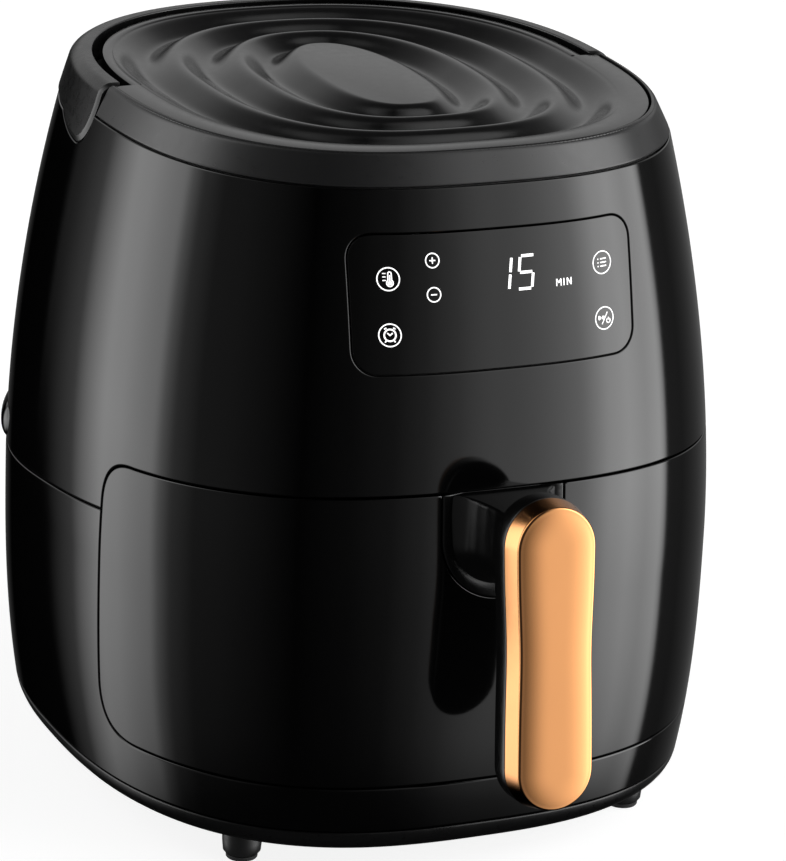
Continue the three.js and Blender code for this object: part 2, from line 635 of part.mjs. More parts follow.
/** Front frame: closes the space between the chamber and the housing behind the drawer. */
function frontFrame() {
  const core = housingCore(WALL + SKIN_GAP, PAN_TOP_Z + 4, CEILING_Z - CLEARANCE);
  const slab = solidOf(box([-FAR, FRAME_Y, 0], [FAR, FRAME_Y + FRAME_THICKNESS, FAR]));
  const opening = solidOf(box([-OPENING.halfWidth, -FAR, OPENING.low],
    [OPENING.halfWidth, FAR, OPENING.high]));
  const plunger = solidOf(turned(rod(SWITCH.plunger + RUNNING_GAP, 0, FAR), 12)
    .rotateX(Math.PI / 2).translate(SWITCH.x, 0, SWITCH.z));
  return cut(core.intersect(slab), opening, plunger);
}

/** Ceiling plate: carries the hood and divides the chamber from the motor space. */
function ceilingPlate() {
  const core = housingCore(WALL + SKIN_GAP, CEILING_Z, CEILING_Z + CEILING_THICKNESS, 1);
  const mouth = solidOf(upPrism(circle(0, FAN_Y, HOOD_RADIUS + 4), 0, FAR, 20));
  const probe = solidOf(upPrism(circle(0, PROBE_Y, 3), 0, FAR, 6));
  return cut(core, mouth, probe);
}

/** Guide rail under one side of the tub's rim. */
function rail(side) {
  const outer = LINER.halfWidth - LINER.wall - CLEARANCE;
  const inner = TUB.halfWidth + 2 * CLEARANCE;
  const high = TUB.top - TUB.wall - 0.4;
  const [x0, x1] = side > 0 ? [inner, outer] : [-outer, -inner];
  return box([x0, FRAME_Y + FRAME_THICKNESS + 4, high - 4], [x1, LINER.rear - LINER.corner - 2, high]);
}

/** Hood: the domed reflector over the heating element, with a hole for the shaft. */
function hood() {
  const low = CEILING_Z + CEILING_THICKNESS + CLEARANCE;
  const top = low + HOOD_HEIGHT;
  const hole = SHAFT_RADIUS + 3;
  return turned([
    [HOOD_RADIUS - 1, low], [HOOD_RADIUS + 10, low], [HOOD_RADIUS + 10, low + SHEET],
    [HOOD_RADIUS, low + SHEET],
    [HOOD_RADIUS - 2, top - 12], [HOOD_RADIUS - 14, top], [hole, top], [hole, top - SHEET],
    [HOOD_RADIUS - 15, top - SHEET], [HOOD_RADIUS - 3.5, top - 12],
  ], 28).translate(0, FAN_Y, 0);
}

/** Heating element: two turns of sheathed rod that end in risers through the hood. */
function heatingElement() {
  const turns = 1.86;
  const spiral = steps(0, 2 * Math.PI * turns, 50).map((angle) => {
    const radius = COIL.radius - (COIL.pitch * angle) / (2 * Math.PI);
    return new THREE.Vector3(...polar(angle, radius), COIL.z);
  });
  const path = new THREE.CatmullRomCurve3(spiral);
  const section = circle(0, 0, COIL.rod);
  return new THREE.ExtrudeGeometry(section, { steps: 48, curveSegments: 3, extrudePath: path })
    .translate(0, FAN_Y, 0);
}

/** Guard: a ring with crossing bars under the heating element. */
function elementGuard() {
  const low = CEILING_Z + CEILING_THICKNESS + CLEARANCE - 1;
  const outer = HOOD_RADIUS - 3;
  const ringShape = circle(0, 0, outer);
  ringShape.holes.push(circle(0, 0, outer - 4, THREE.Path));
  const ring = solidOf(upPrism(ringShape, low, low + 2, 16));
  const bars = [-38, 38].flatMap((offset) => {
    const reach = Math.sqrt((outer - 2) ** 2 - offset ** 2);
    return [
      solidOf(box([offset - 1, -reach, low], [offset + 1, reach, low + 2])),
      solidOf(box([-reach, offset - 1, low], [reach, offset + 1, low + 2])),
    ];
  });
  return join(ring, ...bars).translate([0, FAN_Y, 0]);
}

/** Temperature probe hanging through the ceiling plate. */
function temperatureProbe() {
  const seat = CEILING_Z + CEILING_THICKNESS + CLEARANCE;
  return turned([[0, CEILING_Z - 8], [2, CEILING_Z - 8], [2, seat], [6, seat], [6, seat + 2], [3, seat + 2],
    [3, seat + 12], [0, seat + 12]], 12).translate(0, PROBE_Y, 0);
}

/** Thermal cut-out seated on the ceiling plate beside the hood. */
function thermalCutout() {
  const seat = CEILING_Z + CEILING_THICKNESS + CLEARANCE;
  return turned([[0, seat], [9, seat], [9, seat + 1], [7, seat + 1], [7, seat + 6], [0, seat + 6]], 16)
    .translate(58, PROBE_Y + 4, 0);
}

/** Power board with its relay, capacitor and terminal block. */
function powerBoard() {
  const z = CEILING_Z + CEILING_THICKNESS + 6;
  const sheet = solidOf(box([0, 0, z], [40, 50, z + 1.6]));
  const parts = [[6, 6, 20, 22, 16], [24, 8, 36, 20, 12], [8, 28, 18, 42, 22], [24, 26, 36, 44, 10]]
    .map(([x0, y0, x1, y1, rise]) => solidOf(box([x0, y0, z + 1], [x1, y1, z + rise])));
  const legs = [[3, 3], [37, 3], [3, 47], [37, 47]].map(([x, y]) =>
    solidOf(box([x - 2, y - 2, z - 5.7], [x + 2, y + 2, z + 0.5])));
  return join(sheet, ...parts, ...legs).translate([-100, 62, 0]);
}

// ---------------------------------------------------------------- motor and fans

/** Motor bracket: a plate on four legs that stand on the ceiling plate round the hood. */
function motorBracket() {
  const seat = CEILING_Z + CEILING_THICKNESS + CLEARANCE;
  const reach = HOOD_RADIUS + 14;
  const arms = [[1, 0], [0, 1]].map(([x, y]) => solidOf(box(
    [-(x ? reach : 8), -(y ? reach : 8), BRACKET_Z], [x ? reach : 8, y ? reach : 8, BRACKET_Z + 2])));
  const disc = solidOf(upPrism(circle(0, 0, MOTOR.radius + 4), BRACKET_Z, BRACKET_Z + 2, 12));
  const legs = [0, 1, 2, 3].map((quarter) => solidOf(
    box([reach - 2, -8, seat], [reach, 8, BRACKET_Z + 1]).rotateZ((quarter * Math.PI) / 2)));
  const bore = solidOf(upPrism(circle(0, 0, SHAFT_RADIUS + 4), 0, FAR, 6));
  return cut(join(disc, ...arms, ...legs), bore).rotate([0, 0, 45]).translate([0, FAN_Y, 0]);
}

/** Motor: a stepped can with a through bore for the shaft. */
function fanMotor() {
  const bore = SHAFT_RADIUS + RUNNING_GAP;
  const low = BRACKET_Z + 2 + CLEARANCE;
  return turned([[bore, low], [MOTOR.radius - 6, low], [MOTOR.radius - 6, MOTOR.low + 4],
    [MOTOR.radius, MOTOR.low + 4], [MOTOR.radius, MOTOR.high - 4], [12, MOTOR.high - 4],
    [12, MOTOR.high], [bore, MOTOR.high]], 18)
    .translate(0, FAN_Y, 0);
}

/** Shaft that carries both fans. */
function fanShaft() {
  return turned(rod(SHAFT_RADIUS, SHAFT_LOW_Z, SHAFT_TOP_Z), 16).translate(0, FAN_Y, 0);
}

/** A fan: hub and back disc with upright blades, bored for the shaft. */
function fan({ radius, z, height, blades }) {
  const disc = solidOf(upPrism(circle(0, 0, radius * 0.62), z, z + 1.5, 12));
  const hub = solidOf(upPrism(circle(0, 0, SHAFT_RADIUS + 5), z, z + height, 10));
  const vanes = fullTurn(blades).map((angle) => solidOf(
    box([SHAFT_RADIUS + 3, -0.8, 0], [radius, 0.8, height]).rotateX(VANE_LEAN).translate(0, 0, z + 0.2)
      .rotateZ(angle)));
  const bore = solidOf(upPrism(circle(0, 0, SHAFT_RADIUS + CLEARANCE), 0, FAR, 8));
  return cut(join(disc, hub, ...vanes), bore).translate([0, FAN_Y, 0]);
}

/** Hexagon nut that holds the lower fan on the shaft. */
function fanNut() {
  const shape = new THREE.Shape(fullTurn(6).map((angle) => new THREE.Vector2(...polar(angle, 8))));
  shape.holes.push(circle(0, 0, SHAFT_RADIUS + CLEARANCE, THREE.Path));
  return upPrism(shape, HOT_FAN.z - 6.5, HOT_FAN.z - 3.4, 8).translate(0, FAN_Y, 0);
}

// ---------------------------------------------------------------- drawer switch

/** Drawer switch: a small block behind the front frame, bored for its plunger. */
function drawerSwitch() {
  const { x, z, width, depth, height, plunger } = SWITCH;
  const block = solidOf(box([x - width / 2, SWITCH_FRONT, z - height / 2],
    [x + width / 2, SWITCH_FRONT + depth, z + height / 2]));
  const bore = solidOf(turned([[0, 0], [plunger + RUNNING_GAP, 0], [plunger + RUNNING_GAP, 9], [0, 9]], 12)
    .rotateX(-Math.PI / 2).translate(x, SWITCH_FRONT - 1, z));
  return cut(block, bore);
}

/** Plunger that the closed drawer presses. */
function switchPlunger() {
  const front = FRAME_Y - POST.gap + CLEARANCE;
  const length = SWITCH_FRONT + 4.5 - front;
  const radius = SWITCH.plunger;
  return turned([[0, 0], [radius - 0.5, 0], [radius, 0.8], [radius, length], [0, length]], 12)
    .rotateX(-Math.PI / 2).translate(SWITCH.x, front, SWITCH.z);
}

// ---------------------------------------------------------------- drawer


/** The U-shaped plate that the handle stands on, as a shape in (x, z), grown by grow. */
function mountOutline(grow) {
  const half = MOUNT.halfWidth + grow;
  const shape = new THREE.Shape();
  shape.moveTo(half, FAR);
  shape.lineTo(-half, FAR);
  shape.lineTo(-half, MOUNT.low + MOUNT.halfWidth);
  shape.absarc(0, MOUNT.low + MOUNT.halfWidth, half, Math.PI, 2 * Math.PI, false);
  return shape;
}

/** Drawer front: the curved face that wraps back to the drawer's edge. */
function drawerFront() {
  const wall = housingWall(0, WALL, DRAWER_BOTTOM_Z - 4, DRAWER_TOP_Z + 16, 8);
  const face = wall.intersect(solidOf(sidePrism(drawerOutline(-SEAM / 2))));
  return cut(face, solidOf(frontPrism(mountOutline(CLEARANCE), -FAR, 0, 10)));
}

/** Inner back panel of the drawer front, with the tub's opening. */
function drawerBackPanel() {
  const core = housingCore(WALL + SKIN_GAP, DRAWER_BOTTOM_Z - 4, DRAWER_TOP_Z + 8);
  const slab = solidOf(box([-FAR, DRAWER_BACK_Y, 0], [FAR, DRAWER_BACK_Y + DRAWER_BACK_THICKNESS, FAR]));
  const inside = solidOf(sidePrism(drawerOutline(-WALL)));
  const half = TUB.halfWidth + TUB.rim + 1;
  const opening = solidOf(box([-half, -FAR, TUB.bottom - 1.5], [half, FAR, TUB.top + 0.5]));
  const length = FRAME_Y - POST.gap - DRAWER_BACK_Y;
  const post = solidOf(turned([[0, 0], [POST.radius, 0], [POST.radius - 1, length], [0, length]], 12)
    .rotateX(-Math.PI / 2).translate(SWITCH.x - 4, DRAWER_BACK_Y, SWITCH.z));
  return join(cut(core.intersect(slab).intersect(inside), opening), post);
}

/** Top cap of the drawer front: closes the space between the face and the tub's rim. */
function drawerTopCap() {
  const low = TUB.top + 1;
  const core = housingCore(WALL + SKIN_GAP, low, low + 2, 1);
  const forward = solidOf(box([-FAR, -FAR, 0], [FAR, DRAWER_BACK_Y - CLEARANCE, FAR]));
  const inside = solidOf(sidePrism(drawerOutline(-WALL)));
  const edge = TUB.rim + 0.8;
  const mouth = solidOf(upPrism(roundedRectangle(-TUB.halfWidth - edge, TUB.front - edge,
    TUB.halfWidth + edge, TUB.rear + edge, TUB.corner + edge), 0, FAR, 5));
  const mount = solidOf(box([-MOUNT.halfWidth - 1, -FAR, 0],
    [MOUNT.halfWidth + 1, BRACKET_SEAT.y + 1.2, FAR]));
  return cut(core.intersect(forward).intersect(inside), mouth, mount);
}

/** Tub: the deep-drawn pan with a rolled-out rim. */
function drawerTub() {
  const { halfWidth, front, rear, bottom, top, wall, corner, rim } = TUB;
  const ring = (inset, z) => rectangleRing(-halfWidth + inset, front + inset, halfWidth - inset, rear - inset,
    Math.max(corner - inset, 4), z);
  return loft([
    ring(9, bottom), ring(2.6, bottom + 2.6), ring(0, bottom + 9), ring(0, top - wall),
    ring(-rim, top - wall), ring(-rim, top), ring(wall, top), ring(wall, bottom + 9),
    ring(wall + 2.2, bottom + 3.6), ring(9.5, bottom + wall),
  ]);
}

const BRACKET_SEAT = {
  high: SCREW.z + 5,
  y: frontSurfaceY(SCREW.z + 5, MOUNT.halfWidth) + MOUNT.depth + 2 * CLEARANCE,
  sheet: 2,
};

/** Bracket that joins the tub's front wall to the handle mount. */
function tubBracket() {
  const { y: front, high } = BRACKET_SEAT;
  const low = high - 22;
  const rear = TUB.front - CLEARANCE;
  const bracket = solidOf(box([-30, front, low], [30, front + BRACKET_SEAT.sheet, high]));
  const web = [-26, 0, 26].map((x) => solidOf(box([x - 1.5, front + 1, low], [x + 1.5, rear, high - 8])));
  return cut(join(bracket, ...web), ...screwHoles());
}

/** The two long holes for the handle's screws. */
function screwHoles() {
  return [-1, 1].map((side) => solidOf(turned(rod(SCREW.shank + CLEARANCE, 0, FAR), 10)
    .rotateX(Math.PI / 2).translate(side * SCREW.x, 0, SCREW.z)));
}

/** Handle mount: the U-shaped plate set flush in the drawer front. */
function handleMount() {
  const skin = housingWall(0, MOUNT.depth, MOUNT.low - 10, DRAWER_TOP_Z + 16, 4);
  const shape = solidOf(frontPrism(mountOutline(0), -FAR, 0, 10));
  const below = solidOf(sidePrism(drawerOutline(-SEAM / 2)));
  return cut(skin.intersect(shape).intersect(below), ...screwHoles());
}

/** The grip's waisted outline, as a shape in (x, z) about the pivot level, grown by grow. */
function gripOutline(grow) {
  const { low, high, top, waist, bottom, pivotZ } = GRIP;
  const [lowEnd, highEnd] = [low - pivotZ - grow, high - pivotZ + grow];
  const [t, w, b] = [top + grow, waist + grow, bottom + grow];
  const shape = new THREE.Shape();
  shape.moveTo(w, 0);
  shape.bezierCurveTo(w, 14, t, 26, t, highEnd - t);
  shape.absarc(0, highEnd - t, t, 0, Math.PI, false);
  shape.bezierCurveTo(-t, 26, -w, 14, -w, 0);
  shape.bezierCurveTo(-w, -12, -b, -22, -b, lowEnd + b);
  shape.absarc(0, lowEnd + b, b, Math.PI, 2 * Math.PI, false);
  shape.bezierCurveTo(b, -22, w, -12, w, 0);
  return shape;
}

/** Tilts a grip piece about the pivot level, so that its lower end stands further out. */
function tiltedGrip(geometry) {
  return geometry.rotateX(-THREE.MathUtils.degToRad(GRIP.tilt)).translate(0, GRIP_FACE_Y, GRIP.pivotZ);
}

/** A slab of the grip between two depths behind its face, with a rounded front edge. */
function gripSlab(near, far, bevel, grow = 0) {
  const geometry = new THREE.ExtrudeGeometry(gripOutline(grow - bevel), {
    depth: far - near - bevel, bevelEnabled: bevel > 0, bevelThickness: bevel, bevelSize: bevel,
    bevelSegments: 2, curveSegments: 8,
  });
  geometry.applyMatrix4(new THREE.Matrix4().makeBasis(
    new THREE.Vector3(1, 0, 0), new THREE.Vector3(0, 0, 1), new THREE.Vector3(0, -1, 0)));
  return geometry.translate(0, far, 0);
}

/** Copper cover: the rounded cap on the front of the grip. */
function gripCover() {
  const whole = solidOf(gripSlab(0, GRIP_COVER_DEPTH + 4, 4));
  const back = solidOf(box([-FAR, GRIP_COVER_DEPTH, -FAR], [FAR, FAR, FAR]));
  return tiltedGrip(geometryOf(cut(whole, back)));
}

/** Grip shell: the black back of the grip with the neck that reaches to the mount. */
function gripShell() {
  const near = GRIP_COVER_DEPTH + CLEARANCE;
  const slab = tiltedGrip(gripSlab(near, near + GRIP_SHELL_DEPTH, 0, 1));
  const root = frontSurfaceY(SCREW.z) - CLEARANCE;
  const tip = GRIP_FACE_Y + near + 8;
  const section = (halfWidth, low, y) => {
    const radius = halfWidth * 0.92;
    const lower = steps(Math.PI, 2 * Math.PI, 8).map((angle) => {
      const [x, z] = polar(angle, radius);
      return [x * (halfWidth / radius), y, low + radius + z];
    });
    return [[-halfWidth, y, NECK.top], ...lower, [halfWidth, y, NECK.top]].reverse();
  };
  const neckRings = [[NECK.halfWidth + 3, NECK.low - 3.5, root - 0.1], [NECK.halfWidth, NECK.low, root - 4],
    [NECK.tipHalfWidth, NECK.low + 3, (root + tip) / 2 - 4], [NECK.tipHalfWidth, NECK.low + 4, tip]]
    .map(([halfWidth, low, y]) => section(halfWidth, low, y));
  const neck = solidOf(loft(neckRings));
  const flush = solidOf(sidePrism(drawerOutline(-SEAM / 2)));
  const bores = [-1, 1].map((side) => solidOf(turned(rod(SCREW.shank + CLEARANCE, 0, 14), 10)
    .rotateX(Math.PI / 2).translate(side * SCREW.x, root + 1, SCREW.z)));
  const surface = housingWall(-CLEARANCE, WALL, MOUNT.low - 20, DRAWER_TOP_Z + 20, 6);
  return cut(join(solidOf(slab), neck.intersect(flush)), surface, ...bores);
}

/** Screw that holds the handle, its head behind the bracket. */
function handleScrew(side) {
  const seat = BRACKET_SEAT.y + BRACKET_SEAT.sheet + CLEARANCE;
  const { head, shank, length } = SCREW;
  return turned([[0, 0], [head, 0], [head, 2.2], [shank, 2.2], [shank, 2.2 + length], [0, 2.2 + length]], 12)
    .rotateX(Math.PI / 2).translate(side * SCREW.x, seat + 2.2, SCREW.z);
}

/** Crisper plate: the perforated tray that stands on short feet in the tub. */
function crisperPlate() {
  const half = TUB.halfWidth - TUB.wall - PLATE.gap;
  const front = TUB.front + TUB.wall + PLATE.gap;
  const rear = TUB.rear - TUB.wall - PLATE.gap;
  const shape = roundedRectangle(-half, front, half, rear, PLATE.corner);
  for (const x of steps(-72, 72, 3)) {
    for (const y of steps(FAN_Y - 72, FAN_Y + 72, 3)) shape.holes.push(circle(x, y, 8, THREE.Path));
  }
  const plate = solidOf(upPrism(shape, PLATE.z, PLATE.z + PLATE.thickness, 4));
  const floor = TUB.bottom + TUB.wall + CLEARANCE;
  const feet = [-1, 1].flatMap((side) => [front + 50, rear - 50].map((y) => solidOf(
    box([side * (half - 10) - PLATE.foot, y - PLATE.foot, floor],
      [side * (half - 10) + PLATE.foot, y + PLATE.foot, PLATE.z + 1]))));
  return join(plate, ...feet);
}

/** Silicone bumper on the plate's left or right edge. */
function plateBumper(side, y) {
  const inner = TUB.halfWidth - TUB.wall - PLATE.gap + CLEARANCE;
  const outer = TUB.halfWidth - TUB.wall - 2 * CLEARANCE;
  const [x0, x1] = side > 0 ? [inner, outer] : [-outer, -inner];
  const middle = PLATE.z + PLATE.thickness / 2;
  return box([x0, y - BUMPER.width / 2, middle - BUMPER.height / 2],
    [x1, y + BUMPER.width / 2, middle + BUMPER.height / 2]);
}

// ---------------------------------------------------------------- assembly

const fryer = new THREE.Group();

/** Adds one named piece, from a geometry or a solid. */
function add(name, shape, material) {
  const geometry = shape.isBufferGeometry ? shape : geometryOf(shape);
  const mesh = new THREE.Mesh(geometry, material);
  mesh.name = name;
  fryer.add(mesh);
  return mesh;
}

add('upper_shell', upperShell(), FINISHES.gloss);
add('lower_shell', lowerShell(), FINISHES.gloss);
add('base_pan', basePan(), FINISHES.satin);
add('front_trim', frontTrim(), FINISHES.satin);
add('rear_trim', rearTrim(), FINISHES.satin);
add('air_inlet', airInlet(), FINISHES.matte);
add('top_panel', topPanel(), FINISHES.satin);
add('control_panel', controlPanel(), FINISHES.lens);
add('display_board', displayBoard(), FINISHES.board);
add('display_module', displayModule(), FINISHES.matte);
add('rear_spacer', spacerSolid(0), FINISHES.gloss);
add('exhaust_cover', exhaustCover(), FINISHES.matte);
add('exhaust_duct', exhaustDuct(), FINISHES.aluminium);
add('cord_gland', cordGland(), FINISHES.matte);

for (const [corner, x, y] of [['front_left', -FOOT_X, FRONT_FOOT_Y], ['front_right', FOOT_X, FRONT_FOOT_Y],
  ['rear_left', -FOOT_X, REAR_FOOT_Y], ['rear_right', FOOT_X, REAR_FOOT_Y]]) {
  add(`foot_${corner}`, foot(), FINISHES.matte).position.set(x, y, 0);
  add(`foot_pad_${corner}`, footPad(), FINISHES.rubber).position.set(x, y, 0);
}

add('chamber_liner', chamberLiner(), FINISHES.aluminium);
add('front_frame', frontFrame(), FINISHES.matte);
add('ceiling_plate', ceilingPlate(), FINISHES.aluminium);
add('rail_left', rail(-1), FINISHES.steel);
add('rail_right', rail(1), FINISHES.steel);
add('heater_hood', hood(), FINISHES.aluminium);
add('heating_element', heatingElement(), FINISHES.element);
add('element_guard', elementGuard(), FINISHES.steel);
add('temperature_probe', temperatureProbe(), FINISHES.steel);
add('thermal_cutout', thermalCutout(), FINISHES.steel);
add('power_board', powerBoard(), FINISHES.board);
add('motor_bracket', motorBracket(), FINISHES.steel);
add('fan_motor', fanMotor(), FINISHES.steel);
add('fan_shaft', fanShaft(), FINISHES.steel);
add('hot_air_fan', fan(HOT_FAN), FINISHES.aluminium);
add('cooling_fan', fan(COOLING_FAN), FINISHES.aluminium);
add('fan_nut', fanNut(), FINISHES.steel);
add('drawer_switch', drawerSwitch(), FINISHES.matte);
add('switch_plunger', switchPlunger(), FINISHES.silicone);

add('drawer_front', drawerFront(), FINISHES.gloss);
add('drawer_back_panel', drawerBackPanel(), FINISHES.matte);
add('drawer_top_cap', drawerTopCap(), FINISHES.matte);
add('drawer_tub', drawerTub(), FINISHES.nonstick);
add('tub_bracket', tubBracket(), FINISHES.steel);
add('handle_mount', handleMount(), FINISHES.satin);
add('grip_shell', gripShell(), FINISHES.satin);
add('grip_cover', gripCover(), FINISHES.copper);
add('handle_screw_left', handleScrew(-1), FINISHES.steel);
add('handle_screw_right', handleScrew(1), FINISHES.steel);
add('crisper_plate', crisperPlate(), FINISHES.nonstick);
for (const [name, side, y] of [['front_left', -1, FAN_Y - 62], ['front_right', 1, FAN_Y - 62],
  ['rear_left', -1, FAN_Y + 62], ['rear_right', 1, FAN_Y + 62]]) {
  add(`plate_bumper_${name}`, plateBumper(side, y), FINISHES.silicone);
}

// The origin is under the middle of the whole object's box, handle included.
const reach = new THREE.Box3().setFromObject(fryer);
fryer.position.y = -(reach.min.y + reach.max.y) / 2;

export default fryer;
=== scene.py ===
"""Looks of a basket air fryer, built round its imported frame.

The housing's skins are cut from one mathematical form, so that every shell, trim and lens
follows the same curves. Lengths are millimetres in the fryer's own frame (front towards -Y,
y = 0 at the widest section), and become metres when a mesh is made.
"""

import logging
import math
from dataclasses import dataclass, field
from enum import Enum
from typing import Callable, Optional, Protocol, Sequence

import bmesh
import bpy
import numpy as np
from mathutils import Matrix, Vector
from mathutils.geometry import delaunay_2d_cdt
from mathutils.kdtree import KDTree

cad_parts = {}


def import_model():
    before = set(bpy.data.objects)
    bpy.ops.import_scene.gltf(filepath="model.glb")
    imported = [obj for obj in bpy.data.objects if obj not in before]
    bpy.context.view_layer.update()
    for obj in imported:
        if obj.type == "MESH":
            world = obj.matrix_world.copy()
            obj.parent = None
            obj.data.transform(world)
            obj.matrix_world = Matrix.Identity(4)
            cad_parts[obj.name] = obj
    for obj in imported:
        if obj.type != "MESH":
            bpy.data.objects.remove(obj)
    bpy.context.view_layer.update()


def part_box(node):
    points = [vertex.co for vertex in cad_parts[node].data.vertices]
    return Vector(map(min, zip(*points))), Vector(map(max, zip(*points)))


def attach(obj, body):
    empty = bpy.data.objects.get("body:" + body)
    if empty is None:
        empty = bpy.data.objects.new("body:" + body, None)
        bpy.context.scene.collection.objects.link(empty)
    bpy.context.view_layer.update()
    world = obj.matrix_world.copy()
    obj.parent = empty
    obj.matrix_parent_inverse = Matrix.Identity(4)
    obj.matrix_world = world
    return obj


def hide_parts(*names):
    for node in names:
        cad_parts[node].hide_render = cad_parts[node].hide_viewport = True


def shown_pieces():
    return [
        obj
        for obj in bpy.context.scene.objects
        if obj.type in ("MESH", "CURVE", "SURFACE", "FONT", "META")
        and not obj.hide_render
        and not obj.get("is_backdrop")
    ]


LOG = logging.getLogger("air_fryer")
MM = 0.001
FAN_AXIS_Y = -34.0              # the fan shaft's axis in the fryer's own frame
SEAM = 0.8                      # visible gap between neighbouring shells
HALF_SEAM = SEAM / 2
WALL = 2.8                      # moulded shell thickness
MIRROR_SNAP = 1e-4              # closer to the middle plane than this counts as on it

Points = np.ndarray
Faces = list[tuple[int, ...]]


# ---------------------------------------------------------------- making meshes


class Maker:
    """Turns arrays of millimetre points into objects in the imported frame."""

    def __init__(self) -> None:
        """Finds how far the fryer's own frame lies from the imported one."""
        low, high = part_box("fan_shaft")
        self.shift = (low.y + high.y) / 2 / MM - FAN_AXIS_Y

    def metres(self, points: Points) -> Points:
        """Places points of the fryer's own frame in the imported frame.

        Args:
            points: An (n, 3) array in millimetres.

        Returns:
            The same points in metres.
        """
        return (np.asarray(points, float) + (0.0, self.shift, 0.0)) * MM

    def mesh(self, name: str, points: Points, faces: Faces,
             corner_normals: Optional[Points] = None, sharp: float = 35.0) -> bpy.types.Object:
        """Makes one smooth-shaded object.

        Args:
            name: The piece's name.
            points: Its corners, in millimetres.
            faces: Its faces, as corner numbers.
            corner_normals: One normal for each corner of each face, where they are known.
            sharp: Edges that fold by more than this many degrees stay sharp otherwise.

        Returns:
            The new object, linked to the scene.
        """
        data = bpy.data.meshes.new(name)
        data.from_pydata(self.metres(points).tolist(), [], faces)
        data.validate()
        data.polygons.foreach_set("use_smooth", [True] * len(data.polygons))
        if corner_normals is None:
            data.set_sharp_from_angle(angle=math.radians(sharp))
        elif len(corner_normals) == len(data.loops):
            data.normals_split_custom_set(corner_normals.tolist())
        data.update()
        piece = bpy.data.objects.new(name, data)
        bpy.context.scene.collection.objects.link(piece)
        return piece

    def loft(self, name: str, rings: Points, sharp: float = 35.0) -> bpy.types.Object:
        """Makes a skin over rings of equal length, with both ends filled.

        Args:
            name: The piece's name.
            rings: An (r, m, 3) array, in millimetres.
            sharp: Edges that fold by more than this many degrees stay sharp.

        Returns:
            The new object, linked to the scene.
        """
        return self.mesh(name, rings.reshape(-1, 3), join_rings(rings, caps=(True, True)), sharp=sharp)


def join_rings(rings: Points, closed: bool = True, caps: tuple[bool, bool] = (False, False)) -> Faces:
    """Faces between rings of equal length.

    Args:
        rings: An (r, m, 3) array.
        closed: Whether each ring's end joins its start.
        caps: Whether the first and the last ring are filled with one flat face.

    Returns:
        The faces, numbered ring by ring.
    """
    count, size = rings.shape[:2]
    faces: Faces = []
    for r in range(count - 1):
        for i in range(size if closed else size - 1):
            j = (i + 1) % size
            faces.append((r * size + i, r * size + j, (r + 1) * size + j, (r + 1) * size + i))
    if caps[0]:
        faces.append(tuple(reversed(range(size))))
    if caps[1]:
        faces.append(tuple(range((count - 1) * size, count * size)))
    return faces


def face_outwards(piece: bpy.types.Object) -> bpy.types.Object:
    """Turns a closed piece's faces so that they all point out."""
    bm = bmesh.new()
    bm.from_mesh(piece.data)
    bmesh.ops.recalc_face_normals(bm, faces=bm.faces)
    bm.to_mesh(piece.data)
    bm.free()
    return piece


def merge_pieces(name: str, pieces: Sequence[bpy.types.Object]) -> bpy.types.Object:
    """Joins several fresh pieces into one object.

    Args:
        name: The joined piece's name.
        pieces: The pieces, which are used up.

    Returns:
        The joined piece.
    """
    bm = bmesh.new()
    for piece in pieces:
        bm.from_mesh(piece.data)
    data = bpy.data.meshes.new(name)
    bm.to_mesh(data)
    bm.free()
    for piece in pieces:
        old = piece.data
        bpy.data.objects.remove(piece)
        bpy.data.meshes.remove(old)
    data.set_sharp_from_angle(angle=math.radians(35))
    joined = bpy.data.objects.new(name, data)
    bpy.context.scene.collection.objects.link(joined)
    return joined


def round_edges(piece: bpy.types.Object, width: float, segments: int = 3, angle: float = 35.0) -> None:
    """Gives a piece's sharp edges a small radius.

    Args:
        piece: The piece.
        width: The radius, in millimetres.
        segments: How many steps the radius has.
        angle: Folds under this many degrees are left alone.
    """
    bevel = piece.modifiers.new("edge_radius", "BEVEL")
    bevel.width = width * MM
    bevel.segments = segments
    bevel.limit_method = "ANGLE"
    bevel.angle_limit = math.radians(angle)
    bevel.harden_normals = False
    bevel.use_clamp_overlap = True


def turned(maker: Maker, name: str, profile: Sequence[tuple[float, float]], centre: tuple[float, float],
           segments: int = 48) -> bpy.types.Object:
    """A solid of revolution about an upright axis.

    Args:
        maker: The mesh maker.
        name: The piece's name.
        profile: Points of (radius, height) up the outside; a first or last radius of 0 closes it.
        centre: Where the axis stands, as (x, y).
        segments: Faces round the axis.

    Returns:
        The piece.
    """
    turn = np.linspace(0, 2 * np.pi, segments, endpoint=False)
    radius = np.maximum(np.array([p[0] for p in profile]), 1e-3)[:, None]
    height = np.array([p[1] for p in profile])[:, None] * np.ones(segments)
    across, along = radius * np.cos(turn), radius * np.sin(turn)
    rings = np.stack([centre[0] + across, centre[1] + along, height], -1)
    return face_outwards(maker.loft(name, rings))


# ---------------------------------------------------------------- the housing's form


